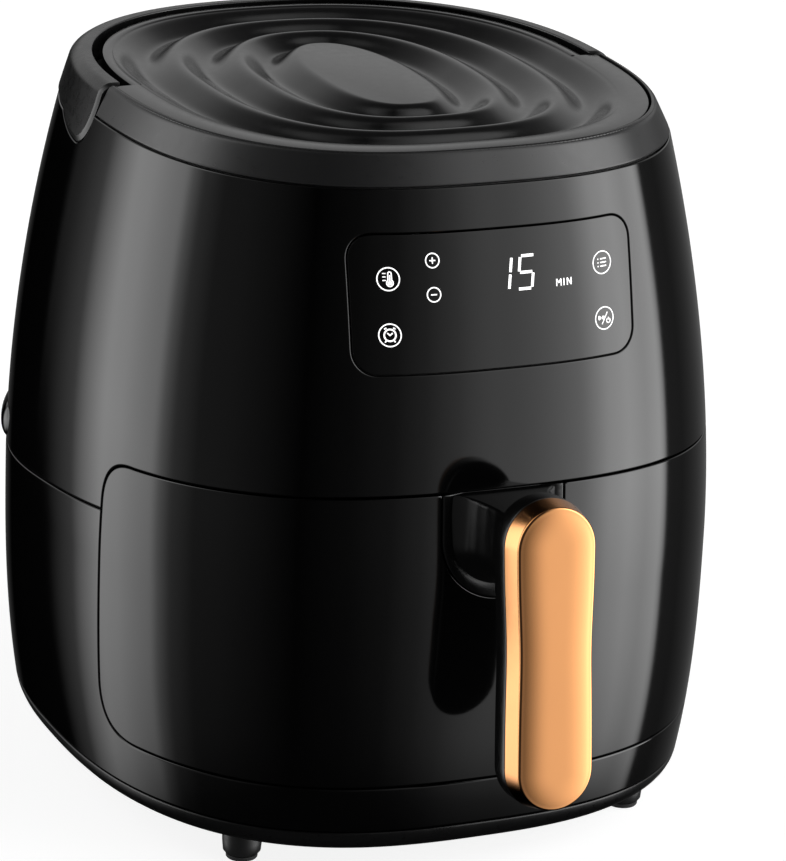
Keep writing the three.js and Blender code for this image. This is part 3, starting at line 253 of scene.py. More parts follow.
@dataclass(frozen=True)
class HousingForm:
    """The rounded body that every shell, trim and lens is cut from."""

    half_width: float = 148.0
    half_depth: float = 177.0
    widest_z: float = 125.0
    shoulder_z: float = 308.0
    upper_taper: float = 24.0
    upper_power: float = 1.88
    lower_taper: float = 5.2
    lower_taper_z: float = 26.0
    lower_power: float = 2.7
    rear_lean: float = 12.0
    front_squareness: float = 2.65
    rear_squareness: float = 2.1
    rear_squaring: float = 0.2

    def width_at(self, z: Points) -> Points:
        """Half width at a level."""
        up = np.clip((z - self.widest_z) / (self.shoulder_z - self.widest_z), 0, None)
        down = np.clip((self.widest_z - z) / (self.widest_z - self.lower_taper_z), 0, None)
        upper = self.upper_taper * up**self.upper_power
        lower = self.lower_taper * down**self.lower_power
        return self.half_width - upper - lower

    def rise_at(self, z: Points) -> Points:
        """Square of the way up from the widest level to the shoulder."""
        return (np.clip(z - self.widest_z, 0, None) / (self.shoulder_z - self.widest_z)) ** 2

    def section_at(self, z: Points, front: Points) -> tuple[Points, Points, Points]:
        """Half width, half depth and squareness of the section at a level.

        Args:
            z: The level.
            front: True where the point is on the front half.

        Returns:
            The half width, the half depth and the superellipse exponent.
        """
        width = self.width_at(z)
        depth = self.half_depth * width / self.half_width
        rise = self.rise_at(z)
        return (width, np.where(front, depth, depth - self.rear_lean * rise),
                np.where(front, self.front_squareness, self.rear_squareness + self.rear_squaring * rise))

    def point(self, turn: Points, z: Points, inset: Points = 0.0) -> Points:
        """A point of the form.

        Args:
            turn: Angle round the section, -pi/2 at the front middle and 0 on the right.
            z: The level.
            inset: How far the section is drawn in.

        Returns:
            An (n, 3) array.
        """
        turn, z = np.broadcast_arrays(np.asarray(turn, float), np.asarray(z, float))
        along, across = np.sin(turn), np.cos(turn)
        width, depth, squareness = self.section_at(z, along < 0)
        x = (width - inset) * np.sign(across) * np.abs(across) ** (2 / squareness)
        y = (depth - inset) * np.sign(along) * np.abs(along) ** (2 / squareness)
        return np.stack([x, y, z], -1)

    def turn_at_y(self, y: Points, z: Points) -> Points:
        """Turn of the right-hand point with this y."""
        y = np.asarray(y, float)
        _, depth, squareness = self.section_at(z, y < 0)
        return np.arcsin(np.sign(y) * np.clip(np.abs(y / depth), 0, 1) ** (squareness / 2))

    def turn_at_x(self, x: Points, z: Points, rear: bool = False) -> Points:
        """Turn of the front (or rear) point with this x."""
        x = np.asarray(x, float)
        width, _, squareness = self.section_at(z, np.full(x.shape, not rear))
        angle = np.arccos(np.sign(x) * np.clip(np.abs(x / width), 0, 1) ** (squareness / 2))
        return angle if rear else -angle


class Girth:
    """Length along the section at the widest level, from the front middle towards the right."""

    SAMPLES = 24001

    def __init__(self, form: HousingForm) -> None:
        """Measures the section once."""
        self.turns = np.linspace(-1.5 * np.pi, 1.5 * np.pi, self.SAMPLES)
        ring = form.point(self.turns, np.full(self.SAMPLES, form.widest_z))
        steps = np.linalg.norm(np.diff(ring, axis=0), axis=1)
        length = np.concatenate([[0], np.cumsum(steps)])
        self.lengths = length - np.interp(-np.pi / 2, self.turns, length)
        self.rear = float(np.interp(np.pi / 2, self.turns, self.lengths))

    def turn(self, length: Points) -> Points:
        """The turn at a length."""
        return np.interp(length, self.lengths, self.turns)

    def length(self, turn: Points) -> Points:
        """The length at a turn."""
        return np.interp(turn, self.turns, self.lengths)


class Surface(Protocol):
    """A surface with a flat chart of two lengths in millimetres."""

    def points(self, chart: Points) -> Points:
        """Points in space for points of the chart."""


@dataclass
class Skin:
    """A surface that follows the housing: its height is a length up a profile of (level, inset)."""

    form: HousingForm
    girth: Girth
    heights: Points
    levels: Points
    insets: Points
    dish: Optional[Callable[[Points, Points], Points]] = None

    @classmethod
    def plain(cls, form: HousingForm, girth: Girth, inset: float = 0.0,
              dish: Optional[Callable[[Points, Points], Points]] = None) -> "Skin":
        """The housing's own surface, drawn in by inset, with the level as its height."""
        ends = np.array([0.0, 400.0])
        return cls(form, girth, ends, ends, np.full(2, inset), dish)

    @classmethod
    def profiled(cls, form: HousingForm, girth: Girth, profile: Points) -> "Skin":
        """A surface with a rounded profile of (level, inset), whose height starts at its first level."""
        lengths = np.linalg.norm(np.diff(profile, axis=0), axis=1)
        heights = profile[0, 0] + np.concatenate([[0], np.cumsum(lengths)])
        return cls(form, girth, heights, profile[:, 0], profile[:, 1])

    def points(self, chart: Points) -> Points:
        """Points in space for points of the chart."""
        turn = self.girth.turn(chart[:, 0])
        level = np.interp(chart[:, 1], self.heights, self.levels)
        inset = np.interp(chart[:, 1], self.heights, self.insets)
        if self.dish is not None:
            flat = self.form.point(turn, level, inset)
            inset = inset + self.dish(flat[:, 0], flat[:, 2])
        return self.form.point(turn, level, inset)

    def height(self, level: Points) -> Points:
        """Height in the chart of a level on the profile's outer face."""
        peak = int(np.argmax(self.levels))
        return np.interp(level, self.levels[: peak + 1], self.heights[: peak + 1])


@dataclass
class FlatTop:
    """A level plane, whose chart is (x, y)."""

    level: float

    def points(self, chart: Points) -> Points:
        """Points in space for points of the chart."""
        return np.column_stack([chart, np.full(len(chart), self.level)])


def rounded_profile(corners: Sequence[tuple[float, float]], radii: Sequence[float],
                    arc_steps: int = 6) -> Points:
    """A line of straight runs whose inner corners are rounded.

    Args:
        corners: The line's corners.
        radii: One radius for each inner corner.
        arc_steps: Steps in each rounded corner.

    Returns:
        The rounded line's points.
    """
    knots = np.asarray(corners, float)
    line = [knots[0]]
    for before, corner, after, radius in zip(knots, knots[1:], knots[2:], radii):
        back, ahead = before - corner, after - corner
        cut = min(radius, 0.45 * np.linalg.norm(back), 0.45 * np.linalg.norm(ahead))
        start = corner + back / np.linalg.norm(back) * cut
        end = corner + ahead / np.linalg.norm(ahead) * cut
        for t in np.linspace(0, 1, arc_steps + 1):
            line.append((1 - t) ** 2 * start + 2 * t * (1 - t) * corner + t**2 * end)
    line.append(knots[-1])
    return np.array(line)


def resample(line: Points, spacing: float) -> Points:
    """Points at an even spacing along a line, with its two ends kept.

    Args:
        line: An (n, 2) or (n, 3) array.
        spacing: The wanted distance between points.

    Returns:
        The new points.
    """
    lengths = np.concatenate([[0], np.cumsum(np.linalg.norm(np.diff(line, axis=0), axis=1))])
    count = max(int(round(lengths[-1] / spacing)), 1)
    marks = np.linspace(0, lengths[-1], count + 1)
    return np.column_stack([np.interp(marks, lengths, line[:, k]) for k in range(line.shape[1])])


def chain(*runs: Points, spacing: float = 2.0) -> Points:
    """Joins runs end to end into one line, keeping the corners between them sharp.

    Args:
        runs: The runs, each starting where the one before it ends.
        spacing: Distance between points along each run.

    Returns:
        The joined line.
    """
    pieces = [resample(np.asarray(run, float), spacing) for run in runs]
    return np.concatenate([pieces[0]] + [piece[1:] for piece in pieces[1:]])


def bezier(*controls: tuple[float, float], steps: int = 24) -> Points:
    """Points of a Bezier curve of any degree."""
    t = np.linspace(0, 1, steps + 1)[:, None]
    layers = [np.asarray(c, float)[None, :] * np.ones_like(t) for c in controls]
    while len(layers) > 1:
        layers = [(1 - t) * a + t * b for a, b in zip(layers, layers[1:])]
    return layers[0]


def arc(centre: tuple[float, float], radius: float, start: float, end: float, steps: int = 24) -> Points:
    """Points of a circular arc between two angles in degrees."""
    angle = np.radians(np.linspace(start, end, steps + 1))
    return np.column_stack([centre[0] + radius * np.cos(angle), centre[1] + radius * np.sin(angle)])


def inside(points: Points, loops: Sequence[Points]) -> Points:
    """Whether points of a plane lie inside loops, by crossing count.

    Args:
        points: An (n, 2) array.
        loops: Closed loops of points; a loop inside another is a hole.

    Returns:
        A truth value for each point.
    """
    result = np.zeros(len(points), bool)
    px, py = points[:, 0:1], points[:, 1:2]
    for loop in loops:
        x0, y0 = loop[:, 0], loop[:, 1]
        x1, y1 = np.roll(x0, -1), np.roll(y0, -1)
        spans = (y0 > py) != (y1 > py)
        rise = np.where(y1 == y0, 1.0, y1 - y0)
        crossing = spans & (px < (x1 - x0) * (py - y0) / rise + x0)
        result ^= (crossing.sum(axis=1) % 2).astype(bool)
    return result


# ---------------------------------------------------------------- sheets cut from a surface


class EdgeStyle(Enum):
    """How a moulded sheet's visible edge is finished."""

    ROUND = "round"
    CHAMFER = "chamfer"


@dataclass(frozen=True)
class Edge:
    """The finish of a sheet's edge: how wide it is on the surface and how deep it goes."""

    width: float = 0.7
    depth: float = 0.7
    style: EdgeStyle = EdgeStyle.ROUND
    steps: int = 4

    def rows(self) -> list[tuple[float, float, float]]:
        """Rows across the edge as (distance from the outline, depth, share of sideways normal)."""
        if self.style is EdgeStyle.CHAMFER:
            lean = math.atan2(self.depth, self.width) / (math.pi / 2)
            return [(self.width * 0.92, self.depth * 0.02, lean * 0.6),
                    (self.width * 0.5, self.depth * 0.5, lean),
                    (self.width * 0.08, self.depth * 0.92, lean),
                    (0.0, self.depth * 1.1, 1.0)]
        turns = [k / self.steps * math.pi / 2 for k in range(1, self.steps + 1)]
        return [(self.width * (1 - math.sin(t)), self.depth * (1 - math.cos(t)), t / (math.pi / 2))
                for t in turns]


@dataclass
class Sheet:
    """A sheet of even thickness cut from a surface, with finished edges.

    A mirrored sheet is drawn for its right half only: each rim starts and ends on the middle
    plane, and the next rim starts where the middle line leaves it. Rims keep the sheet on
    their left.
    """

    maker: Maker
    surface: Surface
    rims: list[Points]
    thickness: float
    edge: Edge = field(default_factory=Edge)
    spacing: float = 3.5
    mirrored: bool = True
    heights: Optional[Points] = None

    STEP = 0.35                 # half step for slopes, in millimetres

    def slopes(self, chart: Points) -> tuple[Points, Points, Points]:
        """Both tangents and the unit normal at points of the chart."""
        step_u, step_v = np.array([self.STEP, 0.0]), np.array([0.0, self.STEP])
        scale = 2 * self.STEP
        along = (self.surface.points(chart + step_u) - self.surface.points(chart - step_u)) / scale
        up = (self.surface.points(chart + step_v) - self.surface.points(chart - step_v)) / scale
        normal = np.cross(along, up)
        return along, up, normal / np.linalg.norm(normal, axis=1, keepdims=True)

    def inward(self, rim: Points) -> tuple[Points, Points, Points]:
        """Points, normals and mitred inward directions along a rim."""
        at = self.surface.points(rim)
        normal = self.slopes(rim)[2]
        if self.mirrored:
            flip = np.array([-1.0, 1.0, 1.0])
            before = np.vstack([at[1] * flip, at[:-1]])
            after = np.vstack([at[1:], at[-2] * flip])
        else:
            before, after = np.roll(at, 1, axis=0), np.roll(at, -1, axis=0)
        sides = []
        for run in (at - before, after - at):
            side = np.cross(normal, run)
            sides.append(side / np.maximum(np.linalg.norm(side, axis=1, keepdims=True), 1e-9))
        share = 1 + (sides[0] * sides[1]).sum(1, keepdims=True)
        return at, normal, (sides[0] + sides[1]) / np.maximum(share, 0.4)

    def drawn_in(self, rim: Points, inward: Points) -> Points:
        """The rim moved in by the edge's width, as points of the chart."""
        along, up, _ = self.slopes(rim)
        a, b, c = (along * along).sum(1), (along * up).sum(1), (up * up).sum(1)
        move = inward * self.edge.width
        r, s = (along * move).sum(1), (up * move).sum(1)
        det = a * c - b * b
        result = rim + np.column_stack([(c * r - b * s) / det, (a * s - b * r) / det])
        if self.mirrored:
            result[[0, -1], 0] = rim[[0, -1], 0]
        return result

    def outline(self, rims: Sequence[Points]) -> tuple[Points, list[Points], list[Points]]:
        """All boundary points, each loop's numbers, and each rim's numbers."""
        points: list[Points] = []
        loops: list[Points] = []
        rim_ids: list[Points] = []
        count = 0
        members: list[int] = []
        for k, rim in enumerate(rims):
            ids = np.arange(count, count + len(rim))
            rim_ids.append(ids)
            points.append(rim)
            count += len(rim)
            members.extend(ids)
            if not self.mirrored:
                loops.append(ids)
                continue
            following = rims[(k + 1) % len(rims)]
            line = resample(np.array([rim[-1], following[0]]), self.spacing)[1:-1]
            if abs(rim[-1, 0] - following[0, 0]) < 1.0:
                points.append(line)
                members.extend(range(count, count + len(line)))
                count += len(line)
        if self.mirrored:
            loops.append(np.array(members))
        return np.concatenate(points), loops, rim_ids

    def filling(self, boundary: Points, loops: Sequence[Points]) -> Points:
        """Points inside the outline, clear of its edge."""
        low, high = boundary.min(0), boundary.max(0)
        if self.heights is None:
            rows = np.arange(low[1], high[1], self.spacing * math.sqrt(3) / 2)
        else:
            rows = self.heights[(self.heights > low[1]) & (self.heights < high[1])]
        lines = []
        for k, height in enumerate(rows):
            start = low[0] + (k % 2) * self.spacing / 2
            across = np.arange(start, high[0], self.spacing)
            lines.append(np.column_stack([across, np.full(len(across), height)]))
        grid = np.concatenate(lines)
        grid = grid[inside(grid, [boundary[loop] for loop in loops])]
        tree = KDTree(len(boundary))
        for i, (u, v) in enumerate(boundary):
            tree.insert((u, v, 0), i)
        tree.balance()
        clear = (0.55 if self.heights is None else 0.22) * self.spacing
        return grid[[tree.find((u, v, 0))[2] > clear for u, v in grid]]

    @staticmethod
    def triangles(points: Points, loops: Sequence[Points]) -> Points:
        """Triangles that fill loops and use all the points."""
        edges = [(int(a), int(b)) for loop in loops for a, b in zip(loop, np.roll(loop, -1))]
        result = delaunay_2d_cdt([Vector(p) for p in points.tolist()], edges, [], 0, 1e-6)
        origin = [sources[0] if sources else -1 for sources in result[3]]
        triples = np.array([[origin[i] for i in face] for face in result[2]])
        triples = triples[(triples >= 0).all(axis=1)]
        middle = points[triples].mean(axis=1)
        triples = triples[inside(middle, [points[loop] for loop in loops])]
        a, b, c = (points[triples[:, k]] for k in range(3))
        turn = (b[:, 0] - a[:, 0]) * (c[:, 1] - a[:, 1]) - (b[:, 1] - a[:, 1]) * (c[:, 0] - a[:, 0])
        triples = triples[np.abs(turn) > 1e-7]
        turn = turn[np.abs(turn) > 1e-7]
        triples[turn < 0] = triples[turn < 0][:, ::-1]
        return triples

    def build(self, name: str) -> bpy.types.Object:
        """Makes the sheet.

        Args:
            name: The piece's name.

        Returns:
            The finished piece.
        """
        traced = [self.inward(rim) for rim in self.rims]
        inner_rims = [self.drawn_in(rim, t[2]) for rim, t in zip(self.rims, traced)]
        boundary, loops, rim_ids = self.outline(inner_rims)
        chart = np.concatenate([boundary, self.filling(boundary, loops)])
        triples = self.triangles(chart, loops)
        top, normal = self.surface.points(chart), self.slopes(chart)[2]
        count = len(chart)
        points = [top, top - normal * self.thickness]
        outer_normals, inner_normals = [normal, -normal], [normal, -normal]
        outer: Faces = [tuple(t) for t in triples.tolist()]
        inner: Faces = [tuple(t) for t in (triples[:, ::-1] + count).tolist()]
        total = 2 * count
        for ids, (at, out, side) in zip(rim_ids, traced):
            flat = side / np.linalg.norm(side, axis=1, keepdims=True)
            previous = ids
            rows = [(w, d, s) for w, d, s in self.edge.rows()] + [(0.0, self.thickness, 1.0)]
            size = len(ids)
            for width, depth, lean in rows:
                angle = lean * math.pi / 2
                points.append(at + side * width - out * depth)
                outer_normals.append(out * math.cos(angle) - flat * math.sin(angle))
                inner_normals.append(-out)
                current = np.arange(total, total + size)
                total += size
                outer.extend(self.band(previous, current))
                previous = current
            inner.extend(self.band(previous, ids + count))
        return self.finished(name, np.concatenate(points), outer, inner,
                             np.concatenate(outer_normals), np.concatenate(inner_normals))

    def band(self, first: Points, second: Points) -> Faces:
        """Quads between two rows along a rim."""
        size = len(first)
        last = size - 1 if self.mirrored else size
        return [(int(first[(i + 1) % size]), int(first[i]), int(second[i]), int(second[(i + 1) % size]))
                for i in range(last)]

    def finished(self, name: str, points: Points, outer: Faces, inner: Faces,
                 outer_normals: Points, inner_normals: Points) -> bpy.types.Object:
        """Mirrors the half where needed, and makes the object."""
        if self.mirrored:
            on_plane = np.abs(points[:, 0]) < MIRROR_SNAP
            points[on_plane, 0] = 0.0
            twin = np.arange(len(points))
            twin[~on_plane] = len(points) + np.arange((~on_plane).sum())
            flip = np.array([-1.0, 1.0, 1.0])
            outer = outer + [tuple(int(twin[i]) for i in reversed(face)) for face in outer]
            inner = inner + [tuple(int(twin[i]) for i in reversed(face)) for face in inner]
            points = np.concatenate([points, points[~on_plane] * flip])
            mirrored_normals = []
            for normals in (outer_normals, inner_normals):
                normals[on_plane, 0] = 0.0
                mirrored_normals.append(np.concatenate([normals, normals[~on_plane] * flip]))
            outer_normals, inner_normals = mirrored_normals
        corners = np.concatenate([outer_normals[[i for face in outer for i in face]],
                                  inner_normals[[i for face in inner for i in face]]])
        corners /= np.maximum(np.linalg.norm(corners, axis=1, keepdims=True), 1e-9)
        return self.maker.mesh(name, points, outer + inner, corners)


# ---------------------------------------------------------------- finishes


class Nodes:
    """A material's node tree, with short ways to add what the finishes share."""

    def __init__(self, name: str) -> None:
        """Starts a material with one Principled shader."""
        self.material = bpy.data.materials.new(name)
        self.material.use_nodes = True
        self.tree = self.material.node_tree
        self.shader = self.tree.nodes["Principled BSDF"]
        self.place = self.tree.nodes.new("ShaderNodeTexCoord").outputs["Object"]

    def link(self, source: bpy.types.NodeSocket, target: bpy.types.NodeSocket) -> None:
        """Joins two sockets."""
        self.tree.links.new(source, target)

    def stretched(self, stretch: tuple[float, float, float]) -> bpy.types.NodeSocket:
        """The object's own coordinates, stretched along the axes."""
        node = self.tree.nodes.new("ShaderNodeMapping")
        node.inputs["Scale"].default_value = stretch
        self.link(self.place, node.inputs["Vector"])
        return node.outputs["Vector"]

    def noise(self, scale: float, detail: float = 3.0, rough: float = 0.5,
              stretch: Optional[tuple[float, float, float]] = None) -> bpy.types.NodeSocket:
        """A noise value, with scale in cycles per metre."""
        node = self.tree.nodes.new("ShaderNodeTexNoise")
        node.inputs["Scale"].default_value = scale
        node.inputs["Detail"].default_value = detail
        node.inputs["Roughness"].default_value = rough
        self.link(self.stretched(stretch) if stretch else self.place, node.inputs["Vector"])
        return node.outputs["Fac"]

    def cells(self, scale: float) -> bpy.types.NodeSocket:
        """Distance to the nearest of scattered points."""
        node = self.tree.nodes.new("ShaderNodeTexVoronoi")
        node.inputs["Scale"].default_value = scale
        self.link(self.place, node.inputs["Vector"])
        return node.outputs["Distance"]

    def spread(self, value: bpy.types.NodeSocket, low: float, high: float,
               start: float = 0.3, end: float = 0.7) -> bpy.types.NodeSocket:
        """Maps a value from start..end to low..high."""
        node = self.tree.nodes.new("ShaderNodeMapRange")
        for socket, number in (("From Min", start), ("From Max", end), ("To Min", low), ("To Max", high)):
            node.inputs[socket].default_value = number
        self.link(value, node.inputs["Value"])
        return node.outputs["Result"]

    def tint(self, value: bpy.types.NodeSocket, first: Sequence[float], second: Sequence[float]) -> None:
        """Runs the base colour between two colours."""
        node = self.tree.nodes.new("ShaderNodeMix")
        node.data_type = "RGBA"
        node.inputs[6].default_value = (*first, 1)
        node.inputs[7].default_value = (*second, 1)
        self.link(value, node.inputs[0])
        self.link(node.outputs[2], self.shader.inputs["Base Color"])

    def bump(self, *layers: tuple[bpy.types.NodeSocket, float]) -> None:
        """Adds bump layers of (height, depth in metres) on top of each other."""
        normal = None
        for height, depth in layers:
            node = self.tree.nodes.new("ShaderNodeBump")
            node.inputs["Distance"].default_value = depth
            self.link(height, node.inputs["Height"])
            if normal is not None:
                self.link(normal, node.inputs["Normal"])
            normal = node.outputs["Normal"]
        self.link(normal, self.shader.inputs["Normal"])


@dataclass(frozen=True)
class MouldedPlastic:
    """Moulded plastic: a colour that clouds slightly, a fine grain and a broad, faint ripple."""

    name: str
    slot: str
    colour: float
    roughness: float
    roughness_play: float = 0.02
    grain: float = 0.0              # depth in metres
    grain_scale: float = 2600.0
    ripple: float = 0.0
    ripple_scale: float = 18.0
    ior: float = 1.5

    def material(self) -> bpy.types.Material:
        """Builds the material."""
        nodes = Nodes(self.name)
        cloud = nodes.noise(14.0)
        dark, light = self.colour * 0.85, self.colour * 1.2
        nodes.tint(cloud, (dark, dark, dark * 1.03), (light, light, light * 1.03))
        dust = nodes.noise(240.0, 5.0, 0.65)
        rough = nodes.spread(dust, self.roughness - self.roughness_play, self.roughness + self.roughness_play)
        nodes.link(rough, nodes.shader.inputs["Roughness"])
        nodes.shader.inputs["IOR"].default_value = self.ior
        layers = []
        if self.ripple:
            layers.append((nodes.noise(self.ripple_scale, 1.0), self.ripple))
        if self.grain:
            layers.append((nodes.noise(self.grain_scale, 2.0), self.grain))
        if layers:
            nodes.bump(*layers)
        return nodes.material


@dataclass(frozen=True)
class Metal:
    """Metal with a fine drawn or rolled grain and faint handling marks."""

    name: str
    slot: str
    colour: tuple[float, float, float]
    roughness: float
    grain: float = 2e-6
    stretch: tuple[float, float, float] = (1.0, 1.0, 0.03)
    grain_scale: float = 1800.0
    tarnish: float = 0.08
    play: float = 0.04

    def material(self) -> bpy.types.Material:
        """Builds the material."""
        nodes = Nodes(self.name)
        nodes.shader.inputs["Metallic"].default_value = 1.0
        darker = [c * (1 - self.tarnish) for c in self.colour]
        nodes.tint(nodes.noise(30.0, 4.0), darker, self.colour)
        marks = nodes.noise(90.0, 6.0, 0.7)
        rough = nodes.spread(marks, self.roughness - self.play, self.roughness + self.play)
        nodes.link(rough, nodes.shader.inputs["Roughness"])
        nodes.bump((nodes.noise(self.grain_scale, 3.0, 0.6, self.stretch), self.grain))
        return nodes.material


@dataclass(frozen=True)
class CoatedSteel:
    """Non-stick coating: dark, slightly pebbled, with a scatter of light flecks."""

    name: str
    slot: str
    colour: float
    fleck: float
    roughness: float

    def material(self) -> bpy.types.Material:
        """Builds the material."""
        nodes = Nodes(self.name)
        flecks = nodes.spread(nodes.cells(520.0), 1.0, 0.0, 0.10, 0.16)
        nodes.tint(flecks, (self.colour,) * 3, (self.fleck,) * 3)
        nodes.link(nodes.spread(nodes.noise(300.0), self.roughness - 0.05, self.roughness + 0.05),
                   nodes.shader.inputs["Roughness"])
        nodes.bump((nodes.noise(900.0, 2.0), 2e-5))
        return nodes.material


@dataclass(frozen=True)
class LitSymbol:
    """White ink lit from behind, its ink tone shifting faintly at random."""

    name: str
    slot: str
    strength: float
    colour: tuple[float, float, float] = (1.0, 1.0, 1.0)

    def material(self) -> bpy.types.Material:
        """Builds the material."""
        nodes = Nodes(self.name)
        nodes.tint(nodes.noise(400.0), (0.75,) * 3, (0.9,) * 3)
        nodes.shader.inputs["Roughness"].default_value = 0.5
        nodes.shader.inputs["Emission Color"].default_value = (*self.colour, 1)
        nodes.shader.inputs["Emission Strength"].default_value = self.strength
        return nodes.material


GLOSS_SHELL = MouldedPlastic("gloss_black", "gloss_shell", 0.0012, 0.07, 0.012, ripple=1.2e-5)
SATIN_TRIM = MouldedPlastic("satin_dark_grey", "satin_trim", 0.012, 0.3, 0.03, grain=5e-6)
REAR_SATIN = MouldedPlastic("satin_black_rear_trim", "satin_trim", 0.005, 0.28, 0.03, grain=5e-6)
TOP_SATIN = MouldedPlastic("satin_black_top", "top_panel", 0.005, 0.17, 0.03, grain=3e-6)
PAN_SATIN = MouldedPlastic("satin_black_pan", "satin_shell", 0.003, 0.3, 0.04, grain=8e-6)
TOUCH_LENS = MouldedPlastic("touch_lens", "touch_lens", 0.001, 0.05, 0.01)
MATTE_INNER = MouldedPlastic("matte_black", "matte_inner", 0.02, 0.62, 0.06, grain=2e-5, grain_scale=1400.0)
HANDLE_BLACK = MouldedPlastic("handle_black", "handle_black", 0.003, 0.2, 0.03, grain=5e-6)
FOOT_BLACK = MouldedPlastic("foot_black", "foot_black", 0.008, 0.4, 0.05, grain=8e-6)
PAD_RUBBER = MouldedPlastic("pad_rubber", "rubber_pad", 0.015, 0.8, 0.08, grain=4e-5, grain_scale=900.0)
SILICONE = MouldedPlastic("bumper_silicone", "silicone", 0.03, 0.6, 0.06, grain=1e-5)
DISPLAY_BLACK = MouldedPlastic("display_black", "display", 0.012, 0.4, 0.04, grain=6e-6)
BOARD_GREEN = MouldedPlastic("board_green", "circuit_board", 0.03, 0.45, 0.05, grain=1e-5)
COPPER = Metal("polished_copper", "copper", (0.72, 0.33, 0.132), 0.15, 1.5e-6, (1.0, 1.0, 0.02), 2400.0,
               0.05, 0.02)
DUCT_SHEET = Metal("duct_sheet", "duct_sheet", (0.6, 0.6, 0.61), 0.34, 6e-6)
FAN_SHEET = Metal("fan_sheet", "fan_sheet", (0.62, 0.62, 0.63), 0.3, 4e-6)
PLAIN_STEEL = Metal("plain_steel", "plain_steel", (0.5, 0.5, 0.51), 0.3, 4e-6)
ELEMENT_SHEATH = Metal("element_sheath", "element_sheath", (0.16, 0.13, 0.11), 0.45, 1e-5, tarnish=0.4)
NONSTICK = CoatedSteel("nonstick", "nonstick", 0.02, 0.16, 0.42)
LIT_WHITE = LitSymbol("lit_white", "touch_lens", 0.9)
LIT_DIGIT = LitSymbol("lit_digit", "touch_lens", 1.2)

Finish = MouldedPlastic | Metal | CoatedSteel | LitSymbol


class Paintbox:
    """Makes each finish once, and dresses pieces with it."""

    def __init__(self) -> None:
        """Starts empty."""
        self.made: dict[str, bpy.types.Material] = {}

    def dress(self, piece: bpy.types.Object, finish: Finish) -> bpy.types.Object:
        """Gives a piece one finish all over.

        Args:
            piece: The piece.
            finish: Its finish.

        Returns:
            The piece.
        """
        if finish.name not in self.made:
            self.made[finish.name] = finish.material()
        piece.data.materials.clear()
        piece.data.materials.append(self.made[finish.name])
        return piece


class Body(Enum):
    """The bodies that pieces ride on."""

    HOUSING = "housing"
    DRAWER = "drawer"
    CRISPER = "crisper"
    ROTOR = "rotor"
    PLUNGER = "plunger"


@dataclass
class Workshop:
    """What every sub-assembly is built with."""

    maker: Maker
    form: HousingForm
    girth: Girth
    paint: Paintbox
    nodes: dict[str, bpy.types.Object]

    def fit(self, piece: bpy.types.Object, finish: Finish, body: Body, *stands_for: str) -> bpy.types.Object:
        """Dresses a piece, rides it on its body and hides the nodes that it stands for.

        Args:
            piece: The piece.
            finish: Its finish.
            body: The body it moves with.
            stands_for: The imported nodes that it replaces.

        Returns:
            The piece.
        """
        self.paint.dress(piece, finish)
        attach(piece, body.value)
        if stands_for:
            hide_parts(*stands_for)
        LOG.info("%s: %d faces on %s", piece.name, len(piece.data.polygons), body.value)
        return piece

    def softened(self, node: str, finish: Finish, body: Body, radius: float = 0.4) -> bpy.types.Object:
        """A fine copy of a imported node, with its flat faces whole again and its edges rounded.

        Args:
            node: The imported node.
            finish: The copy's finish.
            body: The body it moves with.
            radius: Radius of its edges, in millimetres.

        Returns:
            The copy, which stands for the node.
        """
        bm = bmesh.new()
        bm.from_mesh(self.nodes[node].data)
        bmesh.ops.remove_doubles(bm, verts=bm.verts, dist=1e-6)
        bmesh.ops.dissolve_limit(bm, angle_limit=math.radians(1.5), verts=bm.verts, edges=bm.edges)
        data = bpy.data.meshes.new(node + "_fine")
        bm.to_mesh(data)
        bm.free()
        data.polygons.foreach_set("use_smooth", [True] * len(data.polygons))
        data.set_sharp_from_angle(angle=math.radians(35))
        piece = bpy.data.objects.new(node + "_fine", data)
        bpy.context.scene.collection.objects.link(piece)
        if radius:
            round_edges(piece, radius, 2)
        return self.fit(piece, finish, body, node)


# ---------------------------------------------------------------- seam lines


